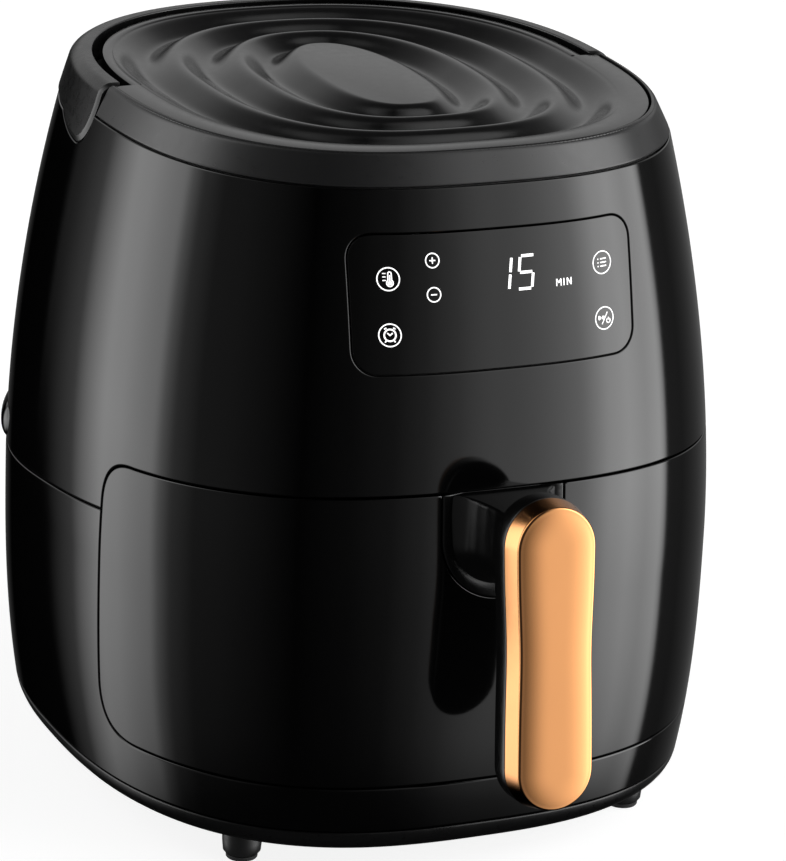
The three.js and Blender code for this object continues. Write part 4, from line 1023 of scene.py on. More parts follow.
@dataclass
class SeamPlan:
    """The lines along which the housing is divided, for its right half, as lines of the skin's chart."""

    form: HousingForm
    girth: Girth
    seam_z: float = 141.0
    seam_slope: float = -0.107
    edge_y: float = -72.0
    top_z: float = 173.0
    top_slope: float = -0.067
    bottom_z: float = 46.5
    top_corner: float = 20.0
    bottom_corner: float = 24.0
    trim_low_z: float = 305.2
    rear_trim_low_z: float = 297.0
    lug_tip: tuple[float, float] = (8.0, 290.0)
    lug_front_y: float = -7.0
    lug_rear_y: float = 38.0
    lug_join_z: float = 309.2
    mount_half: float = 27.8
    mount_centre_z: float = 159.0

    def side(self, line: Points) -> Points:
        """Chart of a line drawn in (y, z) on the right side."""
        return np.column_stack([self.girth.length(self.form.turn_at_y(line[:, 0], line[:, 1])), line[:, 1]])

    def face(self, line: Points, rear: bool = False) -> Points:
        """Chart of a line drawn in (x, z) on the front or the rear."""
        turn = self.form.turn_at_x(line[:, 0], line[:, 1], rear)
        return np.column_stack([self.girth.length(turn), line[:, 1]])

    def running(self, start: float, end: float, level: Callable[[Points], Points]) -> Points:
        """A line round the housing between two turns, whose level depends on y."""
        lengths = np.linspace(float(self.girth.length(start)), float(self.girth.length(end)), 240)
        turns = self.girth.turn(lengths)
        z = level(np.zeros_like(turns))
        for _ in range(5):
            z = level(self.form.point(turns, z)[:, 1])
        return np.column_stack([lengths, z])

    def level(self, start: float, end: float, z: float) -> Points:
        """A line of one level round the housing between two turns."""
        return self.running(start, end, lambda y: np.full_like(y, z))

    def turn_at(self, y: float, z: float) -> float:
        """Turn of one right-hand point."""
        return float(self.form.turn_at_y(np.array([y]), np.array([z]))[0])

    def seam_at(self, y: Points) -> Points:
        """Level of the side seam."""
        return self.seam_z + self.seam_slope * y

    def top_line_at(self, y: Points, grow: float) -> Points:
        """Level of the drawer's top edge, in front of its rounded corner."""
        corner_y = self.edge_y - self.top_corner
        return self.top_z + grow + self.top_slope * (y - corner_y)

    def drawer_top(self, grow: float, from_x: float = 0.0) -> list[Points]:
        """The drawer's top edge and rear edge down to the side seam, from the front middle outwards."""
        edge, corner, top = self.edge_y + grow, self.top_corner + grow, self.top_z + grow
        start = -math.pi / 2
        if from_x:
            start = float(self.form.turn_at_x(np.array([from_x]), np.array([top]))[0])
        across = self.running(start, self.turn_at(edge - corner, top), lambda y: self.top_line_at(y, grow))
        bend = self.side(bezier((edge - corner, top), (edge, top), (edge, top - corner)))
        return [across, bend]

    def rear_edge(self, grow: float, high: float, low: float) -> Points:
        """The drawer's upright rear edge."""
        edge = self.edge_y + grow
        return self.side(np.column_stack([np.full(30, edge), np.linspace(high, low, 30)]))

    def drawer_bottom(self, grow: float) -> list[Points]:
        """The drawer's bottom corner and bottom edge, from the rear edge to the front middle."""
        edge, corner, bottom = self.edge_y + grow, self.bottom_corner + grow, self.bottom_z - grow
        bend = self.side(bezier((edge, bottom + corner), (edge, bottom), (edge - corner, bottom)))
        across = self.level(self.turn_at(edge - corner, bottom), -math.pi / 2, bottom)
        return [bend, across]

    def lug(self, grow: float) -> list[Points]:
        """The rear trim's lower edge from the rear middle to its lug's front, in (y, z) on the side."""
        low, (tip_y, tip_z) = self.rear_trim_low_z - grow, self.lug_tip
        along = self.level(math.pi / 2, self.turn_at(self.lug_rear_y, low), low)
        under = bezier((self.lug_rear_y, low), (tip_y + 12, tip_z - grow), (tip_y, tip_z - grow))
        front = bezier((tip_y, tip_z - grow), (self.lug_front_y + 3 - grow, tip_z + 2),
                       (self.lug_front_y + 1 - grow, self.lug_join_z))
        return [along, self.side(under), self.side(front)]

    def notch(self, grow: float) -> Points:
        """The handle mount's outline from its bottom up to the drawer's top edge."""
        half = self.mount_half + grow
        bowl = arc((0.0, self.mount_centre_z), half, -90, 0)
        y = float(self.form.point(self.form.turn_at_x(np.array([half]), np.array([self.top_z + 5])),
                                  np.array([self.top_z + 5]))[0, 1])
        high = float(self.top_line_at(np.array([y]), -HALF_SEAM)[0])
        return self.face(np.vstack([bowl, [[half, high]]]))

    def framed(self, half: float, low: float, high: float, radius: float, rear: bool = False) -> Points:
        """Right half of a rounded rectangle, from its bottom middle to its top middle."""
        outline = np.vstack([[[0, low]], arc((half - radius, low + radius), radius, -90, 0, 10),
                             arc((half - radius, high - radius), radius, 0, 90, 10), [[0, high]]])
        return resample(self.face(resample(outline, 1.2), rear), 1.6)


# ---------------------------------------------------------------- housing


@dataclass
class HousingShells:
    """Upper and lower shell, base pan, feet, and the rib and gland at the rear."""

    shop: Workshop
    plan: SeamPlan
    pan_top: float = 24.4
    pan_bottom: float = 13.2
    pan_radius: float = 10.0
    pan_slot_pitch: float = 16.0
    pan_slot_reach: float = 37.0    # from the middle to the centre of a slot's rounded end
    pan_slot_radius: float = 3.0
    panel: tuple[float, float, float, float] = (64.5, 229.5, 286.5, 10.0)
    panel_gap: float = 0.35
    exhaust: tuple[float, float, float, float] = (46.0, 196.0, 240.0, 6.0)
    louvres: int = 6
    louvre_margin: float = 8.0
    louvre_half: float = 1.6
    # a thin dark sheet behind the seams: painted shade standing in for the housing's dark inside
    shade_sheet_thickness: float = 0.3
    shade_sheet_top: float = 308.5
    shade_sheet_reach: float = 4.0       # how far the dark shade sheet stands out into the drawer's opening
    rib_above: float = 10.0         # from the side seam up to the middle of the rear rib
    rib_half: float = 8.5
    rib_seat: float = 1.2
    rib_proud: float = 2.6
    rib_front_y: float = 60.0
    rib_run_out: float = 9.0
    gland_z: float = 70.0
    gland_radii: tuple[float, float, float] = (3.8, 6.5, 10.0)      # bore, neck, flange
    feet_at: tuple[tuple[str, float, float], ...] = (
        ("front_left", -92, -121), ("front_right", 92, -121),
        ("rear_left", -92, 104), ("rear_right", 92, 104))
    edge: Edge = Edge(0.75, 0.75)

    def skin(self, inset: float = 0.0) -> Skin:
        """The housing's surface."""
        return Skin.plain(self.shop.form, self.shop.girth, inset)

    def framed(self, numbers: tuple[float, float, float, float], grow: float, rear: bool = False) -> Points:
        """A rounded rectangle of the plan, grown on all sides."""
        half, low, high, radius = numbers
        return self.plan.framed(half + grow, low - grow, high + grow, radius + grow, rear)

    def upper_shell(self) -> bpy.types.Object:
        """The upper shell, with the panel's pocket and the exhaust's opening."""
        plan, grow = self.plan, HALF_SEAM
        across, bend = plan.drawer_top(grow)
        foot = float(plan.seam_at(plan.edge_y + grow)) + grow
        edge = plan.rear_edge(grow, bend[-1, 1], foot)
        seam = plan.running(plan.turn_at(plan.edge_y + grow, foot), math.pi / 2,
                            lambda y: plan.seam_at(y) + grow)
        along, under, front = plan.lug(grow)
        top = plan.trim_low_z - SEAM
        front = front[front[:, 1] < top]
        front = np.vstack([front, [[front[-1, 0], top]]])
        rim_top = plan.level(float(self.shop.girth.turn(front[-1, 0])), -math.pi / 2, top)
        pocket = self.framed(self.panel, self.panel_gap)[::-1]
        vent = self.framed(self.exhaust, HALF_SEAM, rear=True)
        rims = [chain(across, bend, edge, seam), vent, chain(along, under, front, rim_top), pocket]
        return Sheet(self.shop.maker, self.skin(), rims, WALL, self.edge).build("upper_shell_skin")

    def lower_shell(self) -> bpy.types.Object:
        """The lower shell, open in front for the drawer."""
        plan, grow = self.plan, HALF_SEAM
        low = self.pan_top + SEAM
        base = plan.level(-math.pi / 2, math.pi / 2, low)
        head = float(plan.seam_at(plan.edge_y + grow)) - grow
        seam = plan.running(math.pi / 2, plan.turn_at(plan.edge_y + grow, head),
                            lambda y: plan.seam_at(y) - grow)
        bend, across = plan.drawer_bottom(grow)
        edge = plan.rear_edge(grow, head, bend[0, 1])
        rims = [resample(base, 2.0), chain(seam, edge, bend, across)]
        return Sheet(self.shop.maker, self.skin(), rims, WALL, self.edge).build("lower_shell_skin")

    def shade_sheet(self) -> bpy.types.Object:
        """A thin dark sheet behind the seams that keeps light from shining through them; its dark colour is
        painted shade for the housing's inside.
        """
        plan = self.plan
        base = plan.level(-math.pi / 2, math.pi / 2, self.pan_top + 3)
        vent = self.framed(self.exhaust, HALF_SEAM, rear=True)
        top = plan.level(math.pi / 2, -math.pi / 2, self.shade_sheet_top)
        pocket = self.framed(self.panel, self.panel_gap)[::-1]
        across, bend = plan.drawer_top(HALF_SEAM)
        low_bend, low_line = plan.drawer_bottom(-self.shade_sheet_reach)
        edge = plan.rear_edge(-self.shade_sheet_reach, bend[-1, 1] - 5, low_bend[0, 1])
        hole = chain(across, bend, np.array([bend[-1], edge[0]]), edge, low_bend, low_line)
        rims = [resample(base, 3.0), vent, resample(top, 3.0), pocket, hole]
        thin = Edge(0.05, 0.05, EdgeStyle.CHAMFER, 1)
        sheet = Sheet(self.shop.maker, self.skin(WALL + 0.08), rims, self.shade_sheet_thickness, thin, 6.0)
        return sheet.build("seam_shade_sheet")

    def base_pan(self) -> bpy.types.Object:
        """The pan under the housing, with a rounded edge and air slots."""
        girth, radius = self.shop.girth, self.pan_radius
        turns = girth.turn(np.linspace(-girth.rear, girth.rear, 240, endpoint=False))
        rounding = [(self.pan_bottom + radius * (1 - math.cos(t)), radius * (1 - math.sin(t)))
                    for t in np.linspace(0, math.pi / 2, 9)]
        profile = rounding + [(self.pan_top - 0.4, 0.0), (self.pan_top, 0.4), (self.pan_top, WALL),
                              (self.pan_bottom + 3, radius + WALL)]
        rings = np.array([self.shop.form.point(turns, z, inset) for z, inset in profile])
        pan = face_outwards(self.shop.maker.loft("pan", rings))
        reach, end, cutters = self.pan_slot_reach, self.pan_slot_radius, []
        for x in np.arange(-3, 4) * self.pan_slot_pitch:
            outline = np.vstack([arc((x, reach), end, 0, 180, 8), arc((x, -reach), end, 180, 360, 8)])
            stack = np.array([np.column_stack([outline, np.full(len(outline), z)]) for z in (0.0, 40.0)])
            cutters.append(self.shop.maker.loft("slot", stack))
        tool = face_outwards(merge_pieces("slots", cutters))
        return cut_with(pan, tool, "base_pan_shell")

    def spacer(self) -> bpy.types.Object:
        """The rounded rib round the rear, just above the side seam."""
        above, half, seat = self.rib_above, self.rib_half, self.rib_seat
        proud, front_y = self.rib_proud, self.rib_front_y
        centre_z = self.plan.seam_z + above
        start = self.plan.turn_at(front_y, float(self.plan.seam_at(front_y)) + above)
        turns = np.linspace(start, math.pi - start, 200)
        y = self.shop.form.point(turns, np.full(200, centre_z))[:, 1]
        reach = np.clip((y - front_y) / self.rib_run_out, 0.0, 1.0)
        swell = np.sqrt(reach * (2 - reach))
        rows = []
        for share in np.sin(np.linspace(-math.pi / 2, math.pi / 2, 21)):
            z = self.plan.seam_at(y) + above + share * half * (0.35 + 0.65 * swell)
            inset = seat - (proud + seat) * math.sqrt(max(1 - share**2, 0)) * (0.25 + 0.75 * swell)
            rows.append(self.shop.form.point(turns, z, inset))
        for share in (1, -1):
            z = self.plan.seam_at(y) + above + share * half * (0.35 + 0.65 * swell)
            rows.append(self.shop.form.point(turns, z, seat + 1.0))
        return face_outwards(self.shop.maker.loft("rear_rib", np.array(rows).transpose(1, 0, 2)))

    def exhaust_cover(self) -> bpy.types.Object:
        """The louvred cover in the rear, standing slightly proud."""
        half, low, high, _ = self.exhaust
        pitch = (high - low) / (self.louvres + 1)
        rims = [self.framed(self.exhaust, -HALF_SEAM, rear=True)[::-1]]
        for row in range(1, self.louvres + 1):
            z = low + row * pitch
            rims.append(self.plan.framed(half - self.louvre_margin, z - self.louvre_half,
                                         z + self.louvre_half, 1.55, rear=True))
        sheet = Sheet(self.shop.maker, self.skin(-1.9), rims, 3.6, Edge(0.9, 0.9), 3.0)
        return sheet.build("exhaust_louvre")

    def feet(self) -> None:
        """Four feet on their rubber pads."""
        stub = [(0, 2.5), (6.4, 2.5), (7.6, 2.9), (8.3, 3.8), (8.7, 8.0), (8.8, 12.9), (0, 12.9)]
        pad = [(0, 0), (6.0, 0), (6.6, 0.25), (6.95, 0.7), (7, 2.2), (0, 2.2)]
        for corner, x, y in self.feet_at:
            self.shop.fit(turned(self.shop.maker, f"stub_{corner}", stub, (x, y)), FOOT_BLACK, Body.HOUSING,
                          f"foot_{corner}")
            self.shop.fit(turned(self.shop.maker, f"pad_{corner}", pad, (x, y)), PAD_RUBBER, Body.HOUSING,
                          f"foot_pad_{corner}")

    def gland(self) -> bpy.types.Object:
        """The flanged bush in the rear wall."""
        z, (bore, neck, flange) = self.gland_z, self.gland_radii
        face = float(self.shop.form.point(math.pi / 2, z)[1])
        profile = [(bore, face - 7), (neck, face - 7), (neck, face + 0.4), (flange, face + 0.4),
                   (flange, face + 1.4), (flange - 0.5, face + 2.2), (flange - 1.4, face + 2.7),
                   (bore + 1.2, face + 3.0), (bore + 0.3, face + 2.8), (bore, face + 2.3), (bore, face - 7)]
        turn = np.linspace(0, 2 * np.pi, 56, endpoint=False)
        rings = np.array([np.column_stack([r * np.cos(turn), np.full(56, y), z + r * np.sin(turn)])
                          for r, y in profile])
        piece = self.shop.maker.mesh("gland_bush", rings.reshape(-1, 3), join_rings(rings))
        return face_outwards(merge_close(piece))

    def build(self) -> None:
        """Builds and fits every piece."""
        fit = self.shop.fit
        fit(self.upper_shell(), GLOSS_SHELL, Body.HOUSING, "upper_shell")
        fit(self.lower_shell(), GLOSS_SHELL, Body.HOUSING, "lower_shell")
        # the dark sheet behind the seams, painted shade for the housing's inside
        fit(self.shade_sheet(), MATTE_INNER, Body.HOUSING)
        fit(self.base_pan(), PAN_SATIN, Body.HOUSING, "base_pan")
        fit(self.spacer(), GLOSS_SHELL, Body.HOUSING, "rear_spacer")
        fit(self.exhaust_cover(), MATTE_INNER, Body.HOUSING, "exhaust_cover")
        fit(self.gland(), MATTE_INNER, Body.HOUSING, "cord_gland")
        self.feet()


def merge_close(piece: bpy.types.Object) -> bpy.types.Object:
    """Merges a piece's coincident corners."""
    bm = bmesh.new()
    bm.from_mesh(piece.data)
    bmesh.ops.remove_doubles(bm, verts=bm.verts, dist=1e-7)
    bm.to_mesh(piece.data)
    bm.free()
    return piece


def cut_with(piece: bpy.types.Object, tool: bpy.types.Object, name: str) -> bpy.types.Object:
    """Cuts a tool's volume out of a piece, and keeps only the result.

    Args:
        piece: The piece, which is used up.
        tool: The cutter, which is used up.
        name: The result's name.

    Returns:
        The cut piece.
    """
    boolean = piece.modifiers.new("cut", "BOOLEAN")
    boolean.operation = "DIFFERENCE"
    boolean.solver = "EXACT"
    boolean.object = tool
    bpy.context.view_layer.update()
    evaluated = piece.evaluated_get(bpy.context.evaluated_depsgraph_get())
    data = bpy.data.meshes.new_from_object(evaluated)
    for used in (piece, tool):
        bpy.data.objects.remove(used)
    data.set_sharp_from_angle(angle=math.radians(35))
    result = bpy.data.objects.new(name, data)
    bpy.context.scene.collection.objects.link(result)
    return result


# ---------------------------------------------------------------- trims and top


@dataclass
class TopTrims:
    """The trims round the top, the waved top panel and the air inlet."""

    shop: Workshop
    plan: SeamPlan
    top_z: float = 318.0
    lean: float = 3.6
    rim: float = 14.6
    channel: float = 4.6
    groove: float = 0.8             # dark line between the front trim and the top panel's rim
    front_end_y: float = -6.45
    lug_end_y: float = -5.65
    crest_z: float = 317.0
    under_z: float = 308.4
    waves: int = 3
    wave_depth: float = 6.2
    plateau_size: tuple[float, float, float] = (18.0, 52.0, -9.0)   # half width, half length, middle y
    rim_rows: tuple[tuple[float, float], ...] = (                   # share of the way out, drop
        (0.03, 0.0), (0.10, 0.0), (0.5, 0.0), (0.95, 0.0), (0.975, 0.08), (0.99, 0.3), (1.0, 0.7), (1.0, 6.0))

    def end_line(self, skin: Skin, heights: Points, y: float) -> Points:
        """An edge of constant y up a profiled skin."""
        level = np.interp(heights, skin.heights, skin.levels)
        inset = np.interp(heights, skin.heights, skin.insets)
        _, depth, _ = self.shop.form.section_at(level, np.full(len(level), True))
        turn = self.shop.form.turn_at_y(y * depth / (depth - inset), level)
        return np.column_stack([self.shop.girth.length(turn), heights])

    def front_trim(self) -> bpy.types.Object:
        """The band round the front half of the top."""
        profile = rounded_profile([(305.2, 0.2), (316.9, 2.9), (318.0, 4.2), (318.0, 5.0), (312.5, 5.0)],
                                  [1.2, 0.5, 0.3])
        skin = Skin.profiled(self.shop.form, self.shop.girth, profile)
        low, high = skin.heights[0], skin.heights[-1]
        ends = self.end_line(skin, np.linspace(low, high, 60), self.front_end_y)
        bottom = np.array([[0.0, low], ends[0]])
        top = np.array([ends[-1], [0.0, high]])
        rims = [chain(bottom, ends, top, spacing=1.5)]
        rows = np.unique(np.concatenate([np.arange(low, high, 1.6), skin.heights]))
        sheet = Sheet(self.shop.maker, skin, rims, 1.6, Edge(0.4, 0.4), 2.5, heights=rows)
        return sheet.build("front_trim_band")

    def rear_trim(self) -> bpy.types.Object:
        """The raised trim round the rear half, with a shield-shaped lug at each end."""
        profile = rounded_profile([(286.0, -1.2), (315.6, 0.0), (318.4, 3.2), (318.4, 9.2), (302.0, 9.6)],
                                  [3.4, 2.2, 1.0], 8)
        skin = Skin.profiled(self.shop.form, self.shop.girth, profile)
        high = skin.heights[-1]
        join = float(skin.height(self.plan.lug_join_z))
        ends = self.end_line(skin, np.linspace(high, join, 70), self.lug_end_y)
        along, under, front = self.plan.lug(-HALF_SEAM)
        lowered = [np.column_stack([line[:, 0], skin.height(line[:, 1])]) for line in (front, under, along)]
        lowered[0] = np.vstack([lowered[0][:-1], ends[-1]])
        top = np.array([[self.shop.girth.rear, high], ends[0]])
        rims = [chain(top, ends, lowered[0][::-1], lowered[1][::-1], lowered[2][::-1], spacing=1.4)]
        rows = np.unique(np.concatenate([np.arange(286.0, high, 2.0), skin.heights[1:-1]]))
        edge = Edge(2.6, 1.1, EdgeStyle.CHAMFER)
        return Sheet(self.shop.maker, skin, rims, 2.4, edge, 2.5, heights=rows).build("rear_trim_shield")

    def top_panel(self) -> bpy.types.Object:
        """The top panel: a plateau, three embossed rings and, in front, a flat rim."""
        form, girth = self.shop.form, self.shop.girth
        lengths = np.linspace(-girth.rear, girth.rear, 420, endpoint=False)
        cut = float(girth.length(self.plan.turn_at(self.front_end_y, self.top_z)))
        marks = [side * (cut + step) for side in (-1, 1) for step in (-0.25, 0.25)]
        turns = girth.turn(np.sort(np.concatenate([lengths, marks])))
        front = np.sin(turns) < math.sin(girth.turn(cut))
        wave_inset = np.full(len(turns), self.lean + self.rim)
        edge_inset = np.where(front, 5.0 + self.groove, wave_inset - self.channel)
        level = np.full(len(turns), self.top_z)
        hill = self.plateau(turns)
        outline = form.point(turns, level, wave_inset)
        edge = form.point(turns, level, edge_inset)
        rows = []
        for share in np.linspace(0, 1, 76):
            ring = hill + (outline - hill) * (0.035 + 0.965 * share)
            ring[:, 2] = self.crest_z - self.wave_depth * (1 - math.cos(2 * math.pi * self.waves * share)) / 2
            rows.append(ring)
        for share, drop in self.rim_rows:
            ring = outline + (edge - outline) * share
            ring[:, 2] = self.crest_z + 0.35 * min(share / 0.1, 1.0) - drop
            rows.append(ring)
        under = outline.copy()
        under[:, 2] = self.under_z
        rows.append(under)
        return face_outwards(self.shop.maker.loft("top_panel_waves", np.array(rows), sharp=50))

    def plateau(self, turns: Points) -> Points:
        """The outline of the panel's flat middle."""
        half_width, half_length, middle_y = self.plateau_size
        along, across = np.sin(turns), np.cos(turns)
        squareness = np.where(along < 0, self.shop.form.front_squareness, self.shop.form.rear_squareness)
        x = half_width * np.sign(across) * np.abs(across) ** (2 / squareness)
        y = half_length * np.sign(along) * np.abs(along) ** (2 / squareness) + middle_y
        return np.stack([x, y, np.full(len(turns), self.crest_z)], -1)

    def build(self) -> None:
        """Builds and fits every piece."""
        fit = self.shop.fit
        fit(self.front_trim(), SATIN_TRIM, Body.HOUSING, "front_trim")
        fit(self.rear_trim(), REAR_SATIN, Body.HOUSING, "rear_trim")
        fit(self.top_panel(), TOP_SATIN, Body.HOUSING, "top_panel")
        self.shop.softened("air_inlet", MATTE_INNER, Body.HOUSING, 0.2)


# ---------------------------------------------------------------- control panel


@dataclass
class ControlPanel:
    """The touch lens with its lit symbols, and the display behind it."""

    shop: Workshop
    plan: SeamPlan
    housing: HousingShells
    ink: float = 0.1                # height of the symbols above the lens
    line: float = 0.55              # width of a symbol's line

    def lens(self) -> bpy.types.Object:
        """The lens, flush with the shell."""
        rims = [self.housing.framed(self.housing.panel, -0.2)]
        sheet = Sheet(self.shop.maker, self.housing.skin(0.05), rims, 1.4, Edge(0.35, 0.35), 2.5)
        return sheet.build("touch_lens")

    def on_lens(self, flat: Points, lift: float = 0.0) -> Points:
        """Places points of (x, z) on the lens."""
        turn = self.shop.form.turn_at_x(flat[:, 0], flat[:, 1])
        return self.shop.form.point(turn, flat[:, 1], -self.ink - lift + 0.05)

    def stroke(self, line: Points, width: float, closed: bool = False) -> bpy.types.Object:
        """A flat line of ink.

        Args:
            line: Its middle line, in (x, z).
            width: Its width.
            closed: Whether its end joins its start.

        Returns:
            The ink as a fresh piece.
        """
        line = resample(np.vstack([line, line[:1]]) if closed else line, 0.35)
        if closed:
            line = line[:-1]
        before = np.roll(line, 1, axis=0) if closed else np.vstack([line[:1], line[:-1]])
        after = np.roll(line, -1, axis=0) if closed else np.vstack([line[1:], line[-1:]])
        run = after - before
        run /= np.maximum(np.linalg.norm(run, axis=1, keepdims=True), 1e-9)
        side = np.column_stack([-run[:, 1], run[:, 0]]) * width / 2
        left, right = line + side, line - side
        rows = np.array([self.on_lens(left, -0.06), self.on_lens(left),
                         self.on_lens(right), self.on_lens(right, -0.06)])
        rings = rows.transpose(1, 0, 2)
        joined = np.concatenate([rings, rings[:1]]) if closed else rings
        faces = join_rings(joined, caps=(not closed, not closed))
        if closed:
            count = len(rings) * 4
            faces = [tuple(i % count for i in face) for face in faces]
        return face_outwards(self.shop.maker.mesh("ink", rings.reshape(-1, 3), faces))

    def symbol(self, name: str, strokes: Sequence[bpy.types.Object], finish: Finish = LIT_WHITE) -> None:
        """Joins strokes into one fitted symbol."""
        self.shop.fit(merge_pieces(name, strokes), finish, Body.HOUSING)

    def ring(self, x: float, z: float, radius: float, width: float) -> bpy.types.Object:
        """A circle of ink."""
        return self.stroke(arc((x, z), radius, 0, 360, 60)[:-1], width, closed=True)

    def lines(self, x: float, z: float, runs: Sequence[Sequence[tuple[float, float]]],
              width: float) -> list[bpy.types.Object]:
        """Straight runs of ink about a point."""
        return [self.stroke(np.array(run) + (x, z), width) for run in runs]

    def thermometer(self, x: float, z: float) -> None:
        """Temperature symbol."""
        tube = np.vstack([arc((0.6, 2.2), 0.7, 0, 180, 8), arc((0.6, -1.6), 1.35, 125, 415, 24)])
        marks = [[(-2.4, 2.3), (-1.0, 2.3)], [(-2.4, 0.9), (-1.0, 0.9)], [(-2.4, -0.5), (-1.0, -0.5)]]
        bulb = arc((0.6, -1.6), 0.45, 0, 360, 16)[:-1]
        self.symbol("symbol_temperature", [self.ring(x, z, 4.6, 0.5), self.stroke(tube + (x, z), 0.5, True),
                                           self.stroke(bulb + (x, z), 0.9, True),
                                           *self.lines(x, z, [[(0.6, -1.4), (0.6, 1.6)]], 0.5),
                                           *self.lines(x, z, marks, 0.4)])

    def clock(self, x: float, z: float) -> None:
        """Timer symbol."""
        face = arc((0, 0), 2.4, 0, 360, 40)[:-1]
        runs = [[(-1.1, 0.9), (0, -0.1), (1.1, 0.9)], [(-2.3, 2.5), (-1.4, 3.0)], [(2.3, 2.5), (1.4, 3.0)],
                [(-1.6, -2.1), (-2.1, -2.9)], [(1.6, -2.1), (2.1, -2.9)]]
        self.symbol("symbol_timer", [self.ring(x, z, 4.6, 0.5), self.stroke(face + (x, z), 0.65, True),
                                     *self.lines(x, z, runs, 0.55)])

    def plus_minus(self, x: float, z_plus: float, z_minus: float) -> None:
        """Up and down symbols."""
        bar, post = [(-1.3, 0), (1.3, 0)], [(0, -1.3), (0, 1.3)]
        self.symbol("symbol_plus", [self.ring(x, z_plus, 2.9, 0.5), *self.lines(x, z_plus, [bar, post], 0.5)])
        self.symbol("symbol_minus", [self.ring(x, z_minus, 2.9, 0.5), *self.lines(x, z_minus, [bar], 0.5)])

    def menu(self, x: float, z: float) -> None:
        """Programme list symbol."""
        levels = (1.5, 0, -1.5)
        runs = [[(-0.9, h), (2.2, h)] for h in levels] + [[(-2.3, h), (-1.8, h)] for h in levels]
        self.symbol("symbol_menu", [self.ring(x, z, 4.6, 0.45), *self.lines(x, z, runs, 0.5)])

    def start(self, x: float, z: float) -> None:
        """Start, pause and power symbol."""
        play = [[(-2.9, 1.1), (-2.9, -0.5), (-1.6, 0.3), (-2.9, 1.1)]]
        runs = play + [[(-0.9, 1.0), (-0.9, -0.4)], [(-0.2, 1.0), (-0.2, -0.4)], [(-1.3, -2.4), (1.6, 2.4)],
                       [(2.0, 0.2), (2.0, -0.9)]]
        power = arc((2.0, -1.2), 0.95, 125, 415, 20)
        self.symbol("symbol_start", [self.ring(x, z, 4.6, 0.45), *self.lines(x, z, runs, 0.42),
                                     self.stroke(power + (x, z), 0.42)])

    def digits(self, text: str, x: float, z: float, width: float = 6.6, height: float = 13.4) -> None:
        """Slanted seven-segment digits."""
        lit = {"0": "abcdef", "1": "bc", "2": "abged", "3": "abgcd", "4": "fgbc", "5": "afgcd", "6": "afgedc",
               "7": "abc", "8": "abcdefg", "9": "abfgcd"}
        slant, gap = 0.13, 0.5
        w, h = width, height / 2
        ends = {"a": ((0, 2 * h), (w, 2 * h)), "b": ((w, 2 * h), (w, h)), "c": ((w, h), (w, 0)),
                "d": ((0, 0), (w, 0)), "e": ((0, h), (0, 0)), "f": ((0, 2 * h), (0, h)),
                "g": ((0, h), (w, h))}
        strokes = []
        for place, digit in enumerate(text):
            for name in lit[digit]:
                first, last = (np.array(end, float) for end in ends[name])
                run = (last - first) / np.linalg.norm(last - first)
                line = np.array([first + run * gap, last - run * gap])
                line[:, 0] += slant * line[:, 1] + place * (width + 4.0)
                strokes.append(self.stroke(line + (x, z), 1.15))
        self.symbol("symbol_digits", strokes, LIT_DIGIT)

    def minutes(self, x: float, z: float) -> None:
        """The unit beside the digits."""
        high, step = 3.0, 3.4
        runs = [[(0, 0), (0, high), (1.05, 1.2), (2.1, high), (2.1, 0)],
                [(step + 0.1, 0), (step + 0.1, high)],
                [(step + 1.7, 0), (step + 1.7, high), (step + 3.6, 0), (step + 3.6, high)]]
        self.symbol("symbol_minutes", self.lines(x, z, runs, 0.5))

    def build(self) -> None:
        """Builds and fits every piece."""
        self.shop.fit(self.lens(), TOUCH_LENS, Body.HOUSING, "control_panel")
        self.thermometer(-48.6, 268.7)
        self.clock(-49.0, 246.0)
        self.plus_minus(-29.7, 275.6, 261.8)
        self.menu(49.3, 268.0)
        self.start(49.4, 245.0)
        self.digits("15", -2.6, 261.4)
        self.minutes(26.3, 261.0)
        self.shop.softened("display_board", BOARD_GREEN, Body.HOUSING)
        self.shop.softened("display_module", DISPLAY_BLACK, Body.HOUSING)


# ---------------------------------------------------------------- drawer


